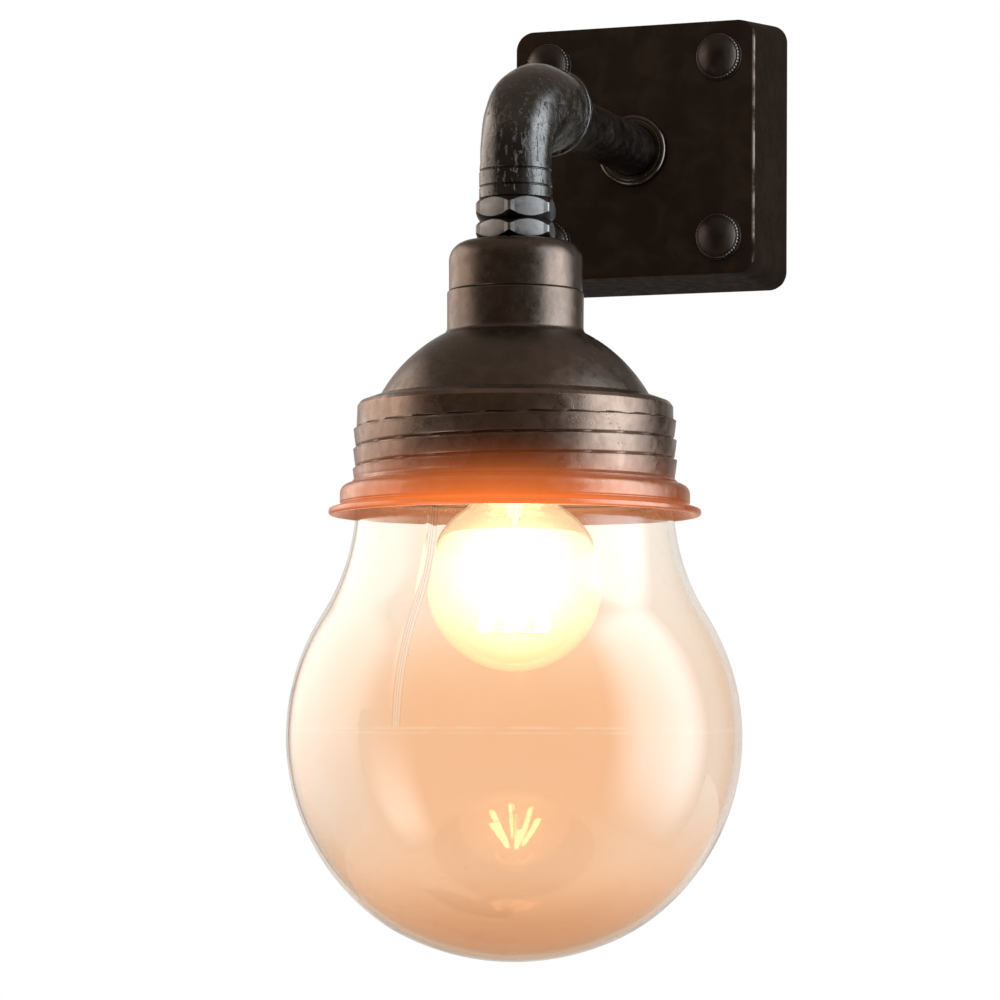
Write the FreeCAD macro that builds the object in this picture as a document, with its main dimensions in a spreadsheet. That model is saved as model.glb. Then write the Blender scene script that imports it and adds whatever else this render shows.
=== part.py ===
import FreeCAD, Part

import math
import os

import Sketcher

# Wall light made of pipe fittings, in millimetres. The wall is the plane Y = 0 and the light stands
# out of it towards -Y. Z = 0 is the axis of the wall pipe, and the lamp hangs below it, on a vertical
# axis at X = 0. Pieces on the wall pipe's axis are drawn with their local Z pointing away from the
# wall. Pieces on the lamp's axis are drawn with local Z up, and their heights are given as drops
# below the pipe's axis.

SIZES = [
    ("wall_to_lamp", 204.0, "distance from the wall to the lamp's axis"),
    # wall gasket and wall bracket
    ("gasket_side", 123.0, "outer side of the square gasket"),
    ("gasket_inner_side", 109.5, "inner side of the gasket"),
    ("gasket_depth", 1.5, "thickness of the gasket"),
    ("bracket_side", 100.0, "side of the square bracket plate"),
    ("bracket_depth", 2.0, "thickness of the bracket plate"),
    ("bracket_corner", 8.0, "corner radius of the bracket plate"),
    ("screw_spacing", 60.0, "distance between the two wall screw holes"),
    ("screw_hole_r", 2.6, "radius of a wall screw hole"),
    ("cable_drop", 24.0, "drop of the cable entry below the pipe's axis"),
    ("cable_hole_r", 8.0, "radius of the bracket's cable hole"),
    ("grommet_bore_r", 5.0, "radius of the cable's way through the grommet"),
    ("grommet_flange_r", 10.5, "radius of the grommet's flange"),
    ("grommet_length", 6.0, "length of the grommet"),
    # back box
    ("box_back_side", 125.0, "side of the box at the wall"),
    ("box_front_side", 117.2, "side of the box's front face"),
    ("box_corner", 7.0, "corner radius at the wall"),
    ("box_depth", 42.6, "distance from the wall to the front face"),
    ("box_wall", 4.0, "thickness of the box's side walls"),
    ("box_face", 5.0, "thickness of the box's front"),
    ("box_edge_r", 1.2, "rounding of the front edge"),
    ("pipe_boss_r", 18.0, "radius of the boss inside the front"),
    ("pipe_boss_depth", 10.0, "depth of that boss"),
    ("stud_boss_r", 6.0, "radius of the corner bosses inside the front"),
    ("stud_boss_depth", 6.0, "depth of the corner bosses"),
    ("stud_spacing", 83.4, "distance between two studs"),
    ("stud_r", 2.5, "radius of a stud"),
    ("stud_hole_r", 2.8, "radius of the stud's hole in the box"),
    ("stud_foot_r", 4.5, "radius of the stud's foot on the bracket"),
    ("stud_foot", 1.5, "thickness of that foot"),
    ("stud_reach", 6.0, "length of the stud in front of the box"),
    # dome nuts
    ("nut_flange_r", 10.9, "radius of the dome nut's flange"),
    ("nut_flange", 1.2, "thickness of the flange"),
    ("nut_knurl_r", 10.5, "radius of the knurled rim"),
    ("nut_knurl_top", 3.9, "height of the knurled rim above the box"),
    ("nut_dome_r", 10.2, "radius of the dome's foot"),
    ("nut_height", 8.9, "height of the dome nut"),
    ("nut_bore_r", 2.55, "radius of the blind thread"),
    ("nut_bore", 6.8, "depth of the blind thread"),
    # terminal block and earth screw, inside the box
    ("block_width", 34.0, "width of the terminal block"),
    ("block_height", 14.0, "height of the terminal block"),
    ("block_depth", 15.0, "depth of the terminal block"),
    ("block_rise", 34.0, "height of the block's middle above the pipe's axis"),
    ("block_pitch", 11.0, "distance between the block's ways"),
    ("block_way_r", 3.2, "radius of a wire way"),
    ("block_screw_r", 2.2, "radius of a clamp screw's well"),
    ("earth_offset", 34.0, "distance of the earth screw from the pipe's axis, sideways"),
    ("earth_head_r", 4.2, "radius of the earth screw's head"),
    ("earth_head", 2.6, "height of that head"),
    # wall pipe and its fixing in the box
    ("pipe_r", 11.8, "outer radius of the wall pipe"),
    ("pipe_bore_r", 9.0, "inner radius of the wall pipe"),
    ("pipe_start", 14.0, "distance of the pipe's rear end from the wall"),
    ("pipe_hole_r", 11.85, "radius of the holes that the pipe fits"),
    ("back_nut_flats", 34.0, "width across the flats of the back nut"),
    ("back_nut_depth", 7.0, "thickness of the back nut"),
    ("collar_ring_r", 16.7, "outer radius of the pipe collar"),
    ("collar_ring_depth", 4.4, "thickness of the pipe collar"),
    ("collar_ring_edge_r", 1.5, "rounding of the pipe collar's edge"),
    # elbow
    ("elbow_bend_r", 28.0, "bend radius of the elbow's middle line"),
    ("elbow_neck_r", 15.3, "outer radius of the vertical leg"),
    ("elbow_foot_r", 15.8, "outer radius of the vertical leg's banded foot"),
    ("elbow_mouth_r", 18.6, "outer radius at the horizontal mouth"),
    ("elbow_bead_r", 19.5, "outer radius of the bead on the mouth"),
    ("elbow_groove", 41.0, "distance of the mouth's groove from the lamp's axis"),
    ("elbow_mouth", 46.0, "distance of the mouth's end from the lamp's axis"),
    ("elbow_line_width", 0.8, "width of the turned grooves"),
    ("elbow_line_depth", 0.6, "depth of the turned grooves"),
    ("elbow_line_upper", 32.3, "drop of the upper turned groove"),
    ("elbow_line_lower", 39.2, "drop of the lower turned groove"),
    ("elbow_end", 44.0, "drop of the vertical leg's end"),
    ("elbow_bore_r", 8.0, "radius of the way through the bend"),
    ("socket_depth", 12.0, "depth of both threaded sockets"),
    # nipple and lock nuts
    ("nipple_r", 10.5, "outer radius of the nipple"),
    ("nipple_bore_r", 7.5, "inner radius of the nipple"),
    ("nipple_hole_r", 10.55, "radius of the holes that the nipple fits"),
    ("nipple_end", 100.0, "drop of the nipple's lower end"),
    ("lock_nut_flats", 32.0, "width across the flats of the lock nuts"),
    ("lock_nut_face_r", 15.3, "radius at which the chamfer meets a face"),
    ("lock_nut_turn", 40.85, "turn of the nuts about the lamp's axis, in degrees"),
    ("lock_nut_split", 53.6, "drop at which the two lock nuts meet"),
    # neck cap
    ("cap_top", 62.4, "drop of the neck cap's top"),
    ("cap_r", 28.7, "outer radius of the neck cap"),
    ("cap_shoulder_r", 8.5, "radius of the neck cap's shoulder"),
    ("cap_wall", 3.2, "wall of the neck cap"),
    ("neck_joint", 84.0, "drop of the joint between neck cap and canopy"),
    ("neck_joint_bevel", 0.7, "bevel on both sides of that joint"),
    # canopy
    ("neck_r", 29.4, "outer radius of the canopy's neck"),
    ("dome_r", 66.3, "radius of the canopy's dome"),
    ("dome_centre", 160.9, "drop of the dome's centre"),
    ("dome_fillet_r", 3.0, "fillet between neck and dome"),
    ("canopy_wall", 2.5, "wall of the canopy"),
    ("canopy_plate", 4.0, "thickness of the plate across the neck"),
    ("canopy_foot", 130.5, "drop of the canopy's foot"),
    ("lug_circle_r", 50.5, "radius of the circle of screw lugs"),
    ("lug_r", 4.5, "radius of a screw lug"),
    ("lug_height", 6.0, "height of a screw lug"),
    ("lug_hole_r", 1.65, "radius of the screw holes"),
    # screw collar
    ("collar_flange_r", 44.5, "inner radius of the collar's flange"),
    ("collar_flange", 3.0, "thickness of the flange"),
    ("collar_top", 129.0, "drop of the collar's top at the canopy"),
    ("collar_top_r", 59.2, "radius of the seat round the canopy"),
    ("collar_shoulder", 131.6, "drop of the outer end of the top"),
    ("collar_shoulder_r", 66.5, "radius of the outer end of the top"),
    ("collar_edge_r", 1.9, "rounding of the top edge"),
    ("collar_edge", 133.5, "drop of the lower end of that rounding"),
    ("collar_upper_r", 67.9, "outer radius below the top edge"),
    ("collar_lower_r", 68.6, "outer radius above the foot"),
    ("collar_bore_r", 64.0, "inner radius of the collar"),
    ("foot_groove", 166.5, "drop of the ring groove above the step"),
    ("foot_groove_width", 0.9, "width of that groove"),
    ("foot_groove_r", 70.2, "radius of its floor"),
    ("step_top", 166.8, "drop of the step's top"),
    ("step_edge_r", 4.2, "rounding of the step's top edge"),
    ("step_r", 75.3, "outer radius of the step"),
    ("step_bottom", 174.9, "drop of the step's lower end"),
    ("step_groove_r", 74.9, "radius of the groove under the step"),
    ("step_groove", 175.6, "drop of that groove"),
    ("rim_edge", 177.8, "drop of the rim's upper outer edge"),
    ("rim_r", 80.1, "outer radius of the flared rim"),
    ("rim_bottom", 180.2, "drop of the rim's lower edge"),
    ("rim_inner_r", 77.6, "inner radius at the rim's lower edge"),
    ("step_inner_r", 72.8, "inner radius of the step"),
    ("step_inner_top", 171.2, "drop of the hollow step's ceiling"),
    # rolled screw thread of collar and glass
    ("thread_pitch", 8.5, "rise of the screw thread in one turn"),
    ("rib_start", 164.6, "drop of the rib's upper edge on the +X side"),
    ("rib_start_angle", 100.0, "angle about the lamp's axis where the rib starts, in degrees"),
    ("rib_turns", 2.85, "turns of the rib"),
    ("groove_turns", 3.85, "turns of the inner groove, which runs out below"),
    ("rib_crest_r", 68.95, "radius of the rib's crest"),
    ("rib_crest", 0.9, "distance of the crest below the rib's upper edge"),
    ("rib_height", 7.6, "height of the rib's section"),
    ("groove_floor_r", 66.2, "radius of the inner groove's floor"),
    ("groove_floor", 3.2, "width of the inner groove's floor"),
    ("groove_mouth", 6.2, "width of the inner groove's mouth"),
    ("bead_crest_r", 65.5, "radius of the glass thread's crest"),
    ("bead_crest", 1.4, "width of the glass thread's crest"),
    ("bead_foot", 4.6, "width of the glass thread's foot"),
    ("bead_turns", 1.75, "turns of the glass thread"),
    # globe and its seal
    ("globe_r", 98.0, "outer radius of the globe's ball"),
    ("globe_centre", 275.4, "drop of the ball's centre"),
    ("globe_base", 372.0, "drop of the globe's flattened bottom"),
    ("globe_base_r", 106.0, "radius of that bottom's curve"),
    ("globe_turn_r", 80.0, "radius of the turn between ball and bottom"),
    ("globe_wall", 3.0, "wall of the globe"),
    ("globe_neck_r", 68.2, "outer radius of the neck under the rim"),
    ("globe_flare_top", 173.0, "drop at which the flare leaves the neck"),
    ("globe_shoulder_r", 62.8, "outer radius of the screw neck"),
    ("globe_shoulder", 170.0, "drop of the shoulder's upper end"),
    ("globe_lip", 137.4, "drop of the glass's lip"),
    ("seal_outer_r", 62.4, "outer radius of the globe seal"),
    ("seal_inner_r", 58.0, "inner radius of the globe seal"),
    ("seal_top", 133.8, "drop of the globe seal's top"),
    ("seal_bottom", 137.1, "drop of the globe seal's underside"),
    # lamp holder
    ("washer_r", 17.0, "radius of the nipple washer"),
    ("washer_depth", 2.0, "thickness of the nipple washer"),
    ("nipple_nut_flats", 28.0, "width across the flats of the nipple nut"),
    ("nipple_nut_depth", 6.0, "thickness of the nipple nut"),
    ("holder_cap_r", 22.55, "outer radius of the holder's cap"),
    ("holder_cap_top_r", 14.0, "radius of the cap's top"),
    ("holder_cap_wall", 1.6, "wall of the holder's cap"),
    ("holder_cap_skirt", 108.0, "drop at which the cap's skirt begins"),
    ("holder_cap_end", 113.0, "drop of the cap's lower edge"),
    ("holder_r", 20.9, "outer radius of the ceramic body"),
    ("holder_top", 106.5, "drop of the ceramic body's top"),
    ("holder_recess", 5.0, "depth of the terminal recess"),
    ("holder_recess_r", 15.0, "radius of the terminal recess"),
    ("holder_cavity_top", 125.0, "drop of the lamp cavity's ceiling"),
    ("holder_end", 152.0, "drop of the ceramic body's lower end"),
    ("holder_lead_offset", 10.5, "distance of the lead ways from the lamp's axis"),
    ("shell_r", 13.45, "inner radius of the screw shell"),
    ("shell_wall", 0.6, "wall of the screw shell"),
    ("shell_end", 150.0, "drop of the screw shell's lower end"),
    ("contact_r", 4.0, "radius of the centre contact"),
    ("contact_depth", 2.6, "thickness of the centre contact"),
    ("terminal_r", 2.4, "radius of a terminal screw's head"),
    ("terminal_height", 2.2, "height of that head"),
    # bulb
    ("bulb_r", 40.0, "radius of the bulb"),
    ("bulb_centre", 209.0, "drop of the bulb's centre"),
    ("bulb_wall", 1.0, "wall of the bulb's glass"),
    ("bulb_neck_r", 15.0, "radius of the bulb's neck"),
    ("bulb_neck_fillet_r", 16.0, "radius between the bulb and its neck"),
    ("bulb_stub_r", 12.7, "radius of the glass inside the cap"),
    ("bulb_stub_top", 151.0, "drop of the glass's upper end"),
    ("screw_cap_r", 13.15, "outer radius of the bulb's screw cap"),
    ("screw_cap_wall", 0.4, "wall of the screw cap"),
    ("screw_cap_bottom", 155.5, "drop of the screw cap's lower edge"),
    ("screw_cap_top", 134.0, "drop of the screw cap's top"),
    ("screw_cap_hole_r", 8.0, "radius of the cap's upper opening"),
    ("insulator_r", 10.0, "radius of the insulator on top of the cap"),
    ("insulator_top", 130.4, "drop of the insulator's top"),
    ("tip_r", 4.8, "radius of the contact tip"),
    ("tip_top", 127.95, "drop of the contact tip's top"),
    ("stem_flange_r", 11.65, "radius of the stem's flange in the neck"),
    ("stem_r", 5.5, "radius of the glass stem"),
    ("stem_rod_r", 1.6, "radius of the stem's rod"),
    ("stem_rod_start", 184.0, "drop at which the rod starts"),
    ("stem_rod_end", 233.0, "drop of the rod's end"),
    ("strip_count", 6.0, "number of filament strips"),
    ("strip_r", 0.9, "radius of a filament strip"),
    ("strip_upper_ring_r", 7.0, "radius of the strips' upper ring"),
    ("strip_lower_ring_r", 15.0, "radius of the strips' lower ring"),
    ("strip_top", 188.0, "drop of the strips' upper ends"),
    ("strip_bottom", 230.0, "drop of the strips' lower ends"),
    ("wire_r", 0.35, "radius of a support wire"),
    # leads
    ("lead_r", 1.25, "radius of a lead's insulation"),
    ("lead_gap", 2.0, "distance of each lead from the pipe's axis, sideways"),
]


class Measure:
    """A length together with the sheet expression that gives it."""

    def __init__(self, value, text):
        self.value = value
        self.text = text

    @staticmethod
    def of(number):
        return number if isinstance(number, Measure) else Measure(float(number), repr(float(number)))

    def __add__(self, other):
        other = Measure.of(other)
        return Measure(self.value + other.value, f"({self.text} + {other.text})")

    def __sub__(self, other):
        other = Measure.of(other)
        return Measure(self.value - other.value, f"({self.text} - {other.text})")

    def __mul__(self, other):
        other = Measure.of(other)
        return Measure(self.value * other.value, f"({self.text} * {other.text})")

    def __truediv__(self, other):
        other = Measure.of(other)
        return Measure(self.value / other.value, f"({self.text} / {other.text})")

    def __neg__(self):
        return Measure(-self.value, f"(-{self.text})")

    def root(self):
        return Measure(math.sqrt(self.value), f"sqrt({self.text})")


class Sizes:
    """The driving dimensions, read from the sheet by name."""

    def __init__(self, sheet):
        self.sheet = sheet

    def __getattr__(self, name):
        return Measure(float(self.sheet.get(name)), f"{self.sheet.Name}.{name}")


def make_sheet(doc):
    sheet = doc.addObject("Spreadsheet::Sheet", "sizes")
    for row, (name, value, meaning) in enumerate(SIZES, start=1):
        sheet.set(f"A{row}", name)
        sheet.set(f"B{row}", str(value))
        sheet.setAlias(f"B{row}", name)
        sheet.set(f"C{row}", meaning)
    doc.recompute()
    return sheet


# ---------------------------------------------------------------- bodies and sketches


def wall_body(doc, label):
    """Body on the wall pipe's axis: local X is world X, local Y is up, local Z points off the wall."""
    body = doc.addObject("PartDesign::Body", label)
    body.Label = label
    body.Placement = FreeCAD.Placement(
        FreeCAD.Vector(0, 0, 0), FreeCAD.Rotation(FreeCAD.Vector(1, 0, 0), 90)
    )
    return body


def lamp_body(doc, label, size, turn=None):
    """Body on the lamp's vertical axis, with its origin at the height of the pipe's axis."""
    body = doc.addObject("PartDesign::Body", label)
    body.Label = label
    angle = turn.value if turn else 0.0
    body.Placement = FreeCAD.Placement(
        FreeCAD.Vector(0, 0, 0), FreeCAD.Rotation(FreeCAD.Vector(0, 0, 1), angle)
    )
    body.setExpression("Placement.Base.y", (-size.wall_to_lamp).text)
    return body


def plane(body, role):
    return next(item for item in body.Origin.OriginFeatures if item.Role == role)


def add_sketch(body, role, name, offset=None, turn=0.0):
    """Sketch on one of the body's own planes, moved along its normal and turned in its plane."""
    sketch = body.newObject("Sketcher::SketchObject", name)
    sketch.AttachmentSupport = (plane(body, role), [""])
    sketch.MapMode = "FlatFace"
    if turn:
        sketch.AttachmentOffset = FreeCAD.Placement(
            FreeCAD.Vector(0, 0, 0), FreeCAD.Rotation(FreeCAD.Vector(0, 1, 0), turn)
        )
    if offset is not None:
        sketch.setExpression("AttachmentOffset.Base.z", offset.text)
    return sketch


def bind(sketch, constraint, text):
    index = sketch.addConstraint(constraint)
    sketch.setExpression(f"Constraints[{index}]", text)


def place_point(sketch, edge, point, x, y):
    """Hold one point of the sketch at a bound position."""
    for kind, axis, measure in (("DistanceX", -2, x), ("DistanceY", -1, y)):
        if abs(measure.value) < 1e-9:
            sketch.addConstraint(Sketcher.Constraint("PointOnObject", edge, point, axis))
        else:
            bind(sketch, Sketcher.Constraint(kind, -1, 1, edge, point, measure.value), measure.text)


def arc_between(start, end, radius, left):
    """Short arc from start to end whose centre is to the left or right of that direction."""
    chord = end - start
    half = chord.Length / 2
    height = math.sqrt(max(radius**2 - half**2, 0.0))
    normal = FreeCAD.Vector(-chord.y, chord.x, 0).normalize()
    centre = (start + end) * 0.5 + normal * (height if left else -height)
    first, last = (start, end) if left else (end, start)
    from_angle = math.atan2(first.y - centre.y, first.x - centre.x)
    to_angle = math.atan2(last.y - centre.y, last.x - centre.x)
    circle = Part.Circle(centre, FreeCAD.Vector(0, 0, 1), radius)
    return Part.ArcOfCircle(circle, from_angle, to_angle)


def outline(sketch, corners):
    """Closed outline through bound corners.

    A corner is (x, y), or (x, y, radius, "left" or "right") where the stretch to the next corner is
    an arc with its centre on that side.
    """
    corners = [(Measure.of(c[0]), Measure.of(c[1])) + tuple(c[2:]) for c in corners]
    points = [FreeCAD.Vector(c[0].value, c[1].value, 0) for c in corners]
    heads = []
    tails = []
    for index, corner in enumerate(corners):
        start = points[index]
        end = points[(index + 1) % len(points)]
        if len(corner) == 2:
            edge = sketch.addGeometry(Part.LineSegment(start, end), False)
            head, tail = 1, 2
        else:
            radius = Measure.of(corner[2])
            left = corner[3] == "left"
            edge = sketch.addGeometry(arc_between(start, end, radius.value, left), False)
            bind(sketch, Sketcher.Constraint("Radius", edge, radius.value), radius.text)
            head, tail = (1, 2) if left else (2, 1)
        heads.append((edge, head))
        tails.append((edge, tail))
    for index, (edge, head) in enumerate(heads):
        sketch.addConstraint(Sketcher.Constraint("Coincident", *tails[index - 1], edge, head))
        place_point(sketch, edge, head, corners[index][0], corners[index][1])


def circle(sketch, x, y, radius):
    x, y, radius = Measure.of(x), Measure.of(y), Measure.of(radius)
    ring = Part.Circle(FreeCAD.Vector(x.value, y.value, 0), FreeCAD.Vector(0, 0, 1), radius.value)
    edge = sketch.addGeometry(ring, False)
    bind(sketch, Sketcher.Constraint("Radius", edge, radius.value), radius.text)
    place_point(sketch, edge, 3, x, y)


def four_circles(sketch, spacing, radius):
    """The same circle at the four corners of a square."""
    for across, up in ((1, 1), (-1, 1), (-1, -1), (1, -1)):
        circle(sketch, spacing * (across / 2), spacing * (up / 2), radius)


def rounded_square(sketch, side, corner):
    half = side / 2
    inner = half - corner
    outline(sketch, [
        (-inner, -half), (inner, -half, corner, "left"),
        (half, -inner), (half, inner, corner, "left"),
        (inner, half), (-inner, half, corner, "left"),
        (-half, inner), (-half, -inner, corner, "left"),
    ])


def rectangle(sketch, left, bottom, right, top):
    outline(sketch, [(left, bottom), (right, bottom), (right, top), (left, top)])


def hexagon(sketch, flats):
    """Hexagon with two corners on the sketch's X axis."""
    corner = flats / math.sqrt(3)
    outline(sketch, [
        (corner * math.cos(math.radians(60 * step)), corner * math.sin(math.radians(60 * step)))
        if step % 3 else (corner * (1 if step == 0 else -1), 0)
        for step in range(6)
    ])


# ---------------------------------------------------------------- features


def pad(body, name, sketch, length, reverse=False):
    feature = body.newObject("PartDesign::Pad", name)
    feature.Profile = sketch
    feature.Reversed = reverse
    feature.setExpression("Length", Measure.of(length).text)
    return feature


def pocket(body, name, sketch, length, reverse=False):
    """Pocket of the given length; the message tells of one that cuts nothing."""
    before = body.Tip
    feature = body.newObject("PartDesign::Pocket", name)
    feature.Profile = sketch
    feature.Reversed = reverse
    feature.setExpression("Length", Measure.of(length).text)
    body.Document.recompute()
    require_cut(feature, before)
    return feature


def revolve(body, name, sketch):
    feature = body.newObject("PartDesign::Revolution", name)
    feature.Profile = sketch
    feature.ReferenceAxis = (sketch, ["V_Axis"])
    feature.Angle = 360
    return feature


def groove(body, name, sketch, axis="V_Axis"):
    before = body.Tip
    feature = body.newObject("PartDesign::Groove", name)
    feature.Profile = sketch
    feature.ReferenceAxis = (sketch, [axis])
    feature.Angle = 360
    body.Document.recompute()
    require_cut(feature, before)
    return feature


def helix(body, kind, name, sketch, pitch, turns):
    """Right-handed helical sweep that climbs from the sketch."""
    feature = body.newObject(f"PartDesign::{kind}", name)
    feature.Profile = sketch
    feature.ReferenceAxis = (sketch, ["V_Axis"])
    feature.Mode = "pitch-turns-angle"
    feature.setExpression("Pitch", pitch.text)
    feature.setExpression("Turns", turns.text)
    feature.Angle = 0
    feature.Growth = 0
    feature.LeftHanded = False
    feature.Reversed = False
    return feature


def polar(body, name, feature, count):
    """Repeat a feature evenly about the body's Z axis."""
    pattern = body.newObject("PartDesign::PolarPattern", name)
    pattern.Originals = [feature]
    pattern.Axis = (plane(body, "Z_Axis"), [""])
    pattern.Angle = 360
    pattern.Occurrences = count
    body.Tip = pattern
    return pattern


def require_cut(feature, before):
    if not feature.Shape.Volume < before.Shape.Volume - 1e-6:
        raise RuntimeError(f"{feature.Label} cuts nothing")


def revolved(doc, label, size, corners, on_wall=False):
    """Body of one outline (radius, height) turned about its own axis."""
    body = wall_body(doc, label) if on_wall else lamp_body(doc, label, size)
    sketch = add_sketch(body, "XZ_Plane", f"{label}_outline")
    outline(sketch, corners)
    revolve(body, f"{label}_turned", sketch)
    doc.recompute()
    return body


# ---------------------------------------------------------------- wall bracket, box and fasteners


def wall_gasket(doc, size):
    body = wall_body(doc, "wall_gasket")
    sketch = add_sketch(body, "XY_Plane", "gasket_outline")
    rounded_square(sketch, size.gasket_side, size.box_corner - 1)
    rounded_square(sketch, size.gasket_inner_side, size.box_corner - 6)
    pad(body, "gasket_pad", sketch, size.gasket_depth)


def wall_bracket(doc, size):
    """Flat steel plate with two wall screw holes and a hole for the cable."""
    body = wall_body(doc, "wall_bracket")
    sketch = add_sketch(body, "XY_Plane", "bracket_outline")
    rounded_square(sketch, size.bracket_side, size.bracket_corner)
    circle(sketch, size.screw_spacing / 2, 0, size.screw_hole_r)
    circle(sketch, -size.screw_spacing / 2, 0, size.screw_hole_r)
    circle(sketch, 0, -size.cable_drop, size.cable_hole_r)
    pad(body, "bracket_pad", sketch, size.bracket_depth)


def bracket_studs(doc, size):
    """Four long threaded studs, each on a welded foot."""
    body = wall_body(doc, "bracket_studs")
    feet = add_sketch(body, "XY_Plane", "stud_feet", size.bracket_depth)
    four_circles(feet, size.stud_spacing, size.stud_foot_r)
    pad(body, "feet_pad", feet, size.stud_foot)
    shanks = add_sketch(body, "XY_Plane", "stud_shanks", size.bracket_depth)
    four_circles(shanks, size.stud_spacing, size.stud_r)
    pad(body, "shanks_pad", shanks, size.box_depth + size.stud_reach - size.bracket_depth)


def back_box(doc, size):
    """Cast square box with drafted sides, hollow towards the wall."""
    body = wall_body(doc, "back_box")
    depth = size.box_depth - size.gasket_depth
    lean = (size.box_back_side - size.box_front_side) / 2 / depth
    draft = f"-atan({lean.text})"
    back = add_sketch(body, "XY_Plane", "box_back", size.gasket_depth)
    rounded_square(back, size.box_back_side, size.box_corner)
    casting = pad(body, "box_casting", back, depth)
    casting.setExpression("TaperAngle", draft)
    doc.recompute()
    rounded = body.newObject("PartDesign::Fillet", "box_front_edge")
    rounded.Base = (casting, edges_at_height(casting.Shape, size.box_depth.value))
    rounded.setExpression("Radius", size.box_edge_r.text)
    doc.recompute()
    mouth = add_sketch(body, "XY_Plane", "cavity_mouth", size.gasket_depth)
    rounded_square(mouth, size.box_back_side - size.box_wall * 2, size.box_corner - size.box_wall)
    cavity = pocket(body, "box_cavity", mouth, depth - size.box_face, reverse=True)
    cavity.setExpression("TaperAngle", draft)
    doc.recompute()
    bosses = add_sketch(body, "XY_Plane", "pipe_boss", size.box_depth - size.box_face)
    circle(bosses, 0, 0, size.pipe_boss_r)
    pad(body, "pipe_boss_pad", bosses, size.pipe_boss_depth, reverse=True)
    corner_bosses = add_sketch(body, "XY_Plane", "stud_bosses", size.box_depth - size.box_face)
    four_circles(corner_bosses, size.stud_spacing, size.stud_boss_r)
    pad(body, "stud_boss_pad", corner_bosses, size.stud_boss_depth, reverse=True)
    holes = add_sketch(body, "XY_Plane", "box_holes", size.box_depth)
    circle(holes, 0, 0, size.pipe_hole_r)
    four_circles(holes, size.stud_spacing, size.stud_hole_r)
    pocket(body, "box_holes_cut", holes, size.box_face + size.pipe_boss_depth)


def edges_at_height(shape, height):
    """Names of the edges that lie wholly at one local height."""
    return [
        f"Edge{number}" for number, edge in enumerate(shape.Edges, start=1)
        if all(abs(vertex.Z - height) < 1e-6 for vertex in edge.Vertexes)
    ]


def dome_nuts(doc, size):
    """Four domed nuts with a flange and a knurled rim, on the studs."""
    body = wall_body(doc, "dome_nuts")
    seat = size.box_depth
    top = size.nut_height
    dome_height = top - size.nut_knurl_top
    dome_curve = (size.nut_dome_r * size.nut_dome_r + dome_height * dome_height) / (dome_height * 2)
    centre = size.stud_spacing / 2
    section = add_sketch(body, "XZ_Plane", "nut_outline", -centre)
    outline(section, [
        (centre + size.nut_bore_r, seat), (centre + size.nut_flange_r, seat),
        (centre + size.nut_flange_r, seat + size.nut_flange),
        (centre + size.nut_knurl_r, seat + size.nut_flange),
        (centre + size.nut_knurl_r, seat + size.nut_knurl_top),
        (centre + size.nut_dome_r, seat + size.nut_knurl_top, dome_curve, "left"),
        (centre, seat + top), (centre, seat + size.nut_bore),
        (centre + size.nut_bore_r, seat + size.nut_bore),
    ])
    axis = section.addGeometry(Part.LineSegment(
        FreeCAD.Vector(centre.value, 0, 0), FreeCAD.Vector(centre.value, seat.value, 0)), True)
    place_point(section, axis, 1, centre, Measure.of(0))
    place_point(section, axis, 2, centre, seat)
    nut = body.newObject("PartDesign::Revolution", "nut_turned")
    nut.Profile = section
    nut.ReferenceAxis = (section, ["Axis0"])
    nut.Angle = 360
    doc.recompute()
    polar(body, "nuts_round_box", nut, 4)


def cable_grommet(doc, size):
    """Rubber bush with a flange on the box's side, flush with the wall."""
    body = wall_body(doc, "cable_grommet")
    barrel = add_sketch(body, "XY_Plane", "grommet_barrel")
    circle(barrel, 0, -size.cable_drop, size.cable_hole_r)
    circle(barrel, 0, -size.cable_drop, size.grommet_bore_r)
    pad(body, "barrel_pad", barrel, size.grommet_length)
    flange = add_sketch(body, "XY_Plane", "grommet_flange", size.bracket_depth)
    circle(flange, 0, -size.cable_drop, size.grommet_flange_r)
    circle(flange, 0, -size.cable_drop, size.grommet_bore_r)
    pad(body, "flange_pad", flange, size.bracket_depth)


def terminal_block(doc, size):
    """Three-way block on the bracket, with vertical wire ways and screw wells."""
    body = wall_body(doc, "terminal_block")
    outer = add_sketch(body, "XY_Plane", "block_outline", size.bracket_depth)
    half_width = size.block_width / 2
    half_height = size.block_height / 2
    rectangle(outer, -half_width, size.block_rise - half_height, half_width, size.block_rise + half_height)
    pad(body, "block_pad", outer, size.block_depth)
    wells = add_sketch(body, "XY_Plane", "screw_wells", size.bracket_depth + size.block_depth)
    ways = add_sketch(body, "XZ_Plane", "wire_ways", -(size.block_rise - half_height))
    for way in (-1, 0, 1):
        circle(wells, size.block_pitch * way, size.block_rise, size.block_screw_r)
        circle(ways, size.block_pitch * way, size.bracket_depth + size.block_depth / 2, size.block_way_r)
    pocket(body, "wells_cut", wells, size.block_depth / 3)
    pocket(body, "ways_cut", ways, size.block_height, reverse=False)


def earth_screw(doc, size):
    """Screw with a pan head on the bracket plate."""
    body = wall_body(doc, "earth_screw")
    head = add_sketch(body, "XY_Plane", "earth_head", size.bracket_depth)
    circle(head, size.earth_offset, -size.cable_drop, size.earth_head_r)
    pad(body, "earth_head_pad", head, size.earth_head)


# ---------------------------------------------------------------- wall pipe and elbow


def pipe_back_nut(doc, size):
    """Chamfered hexagon nut that holds the pipe against the boss inside the box."""
    body = wall_body(doc, "pipe_back_nut")
    seat = size.box_depth - size.box_face - size.pipe_boss_depth
    chamfered_nut(body, size.back_nut_flats, size.back_nut_flats * 0.48,
                  size.pipe_hole_r, seat - size.back_nut_depth, seat)


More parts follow.
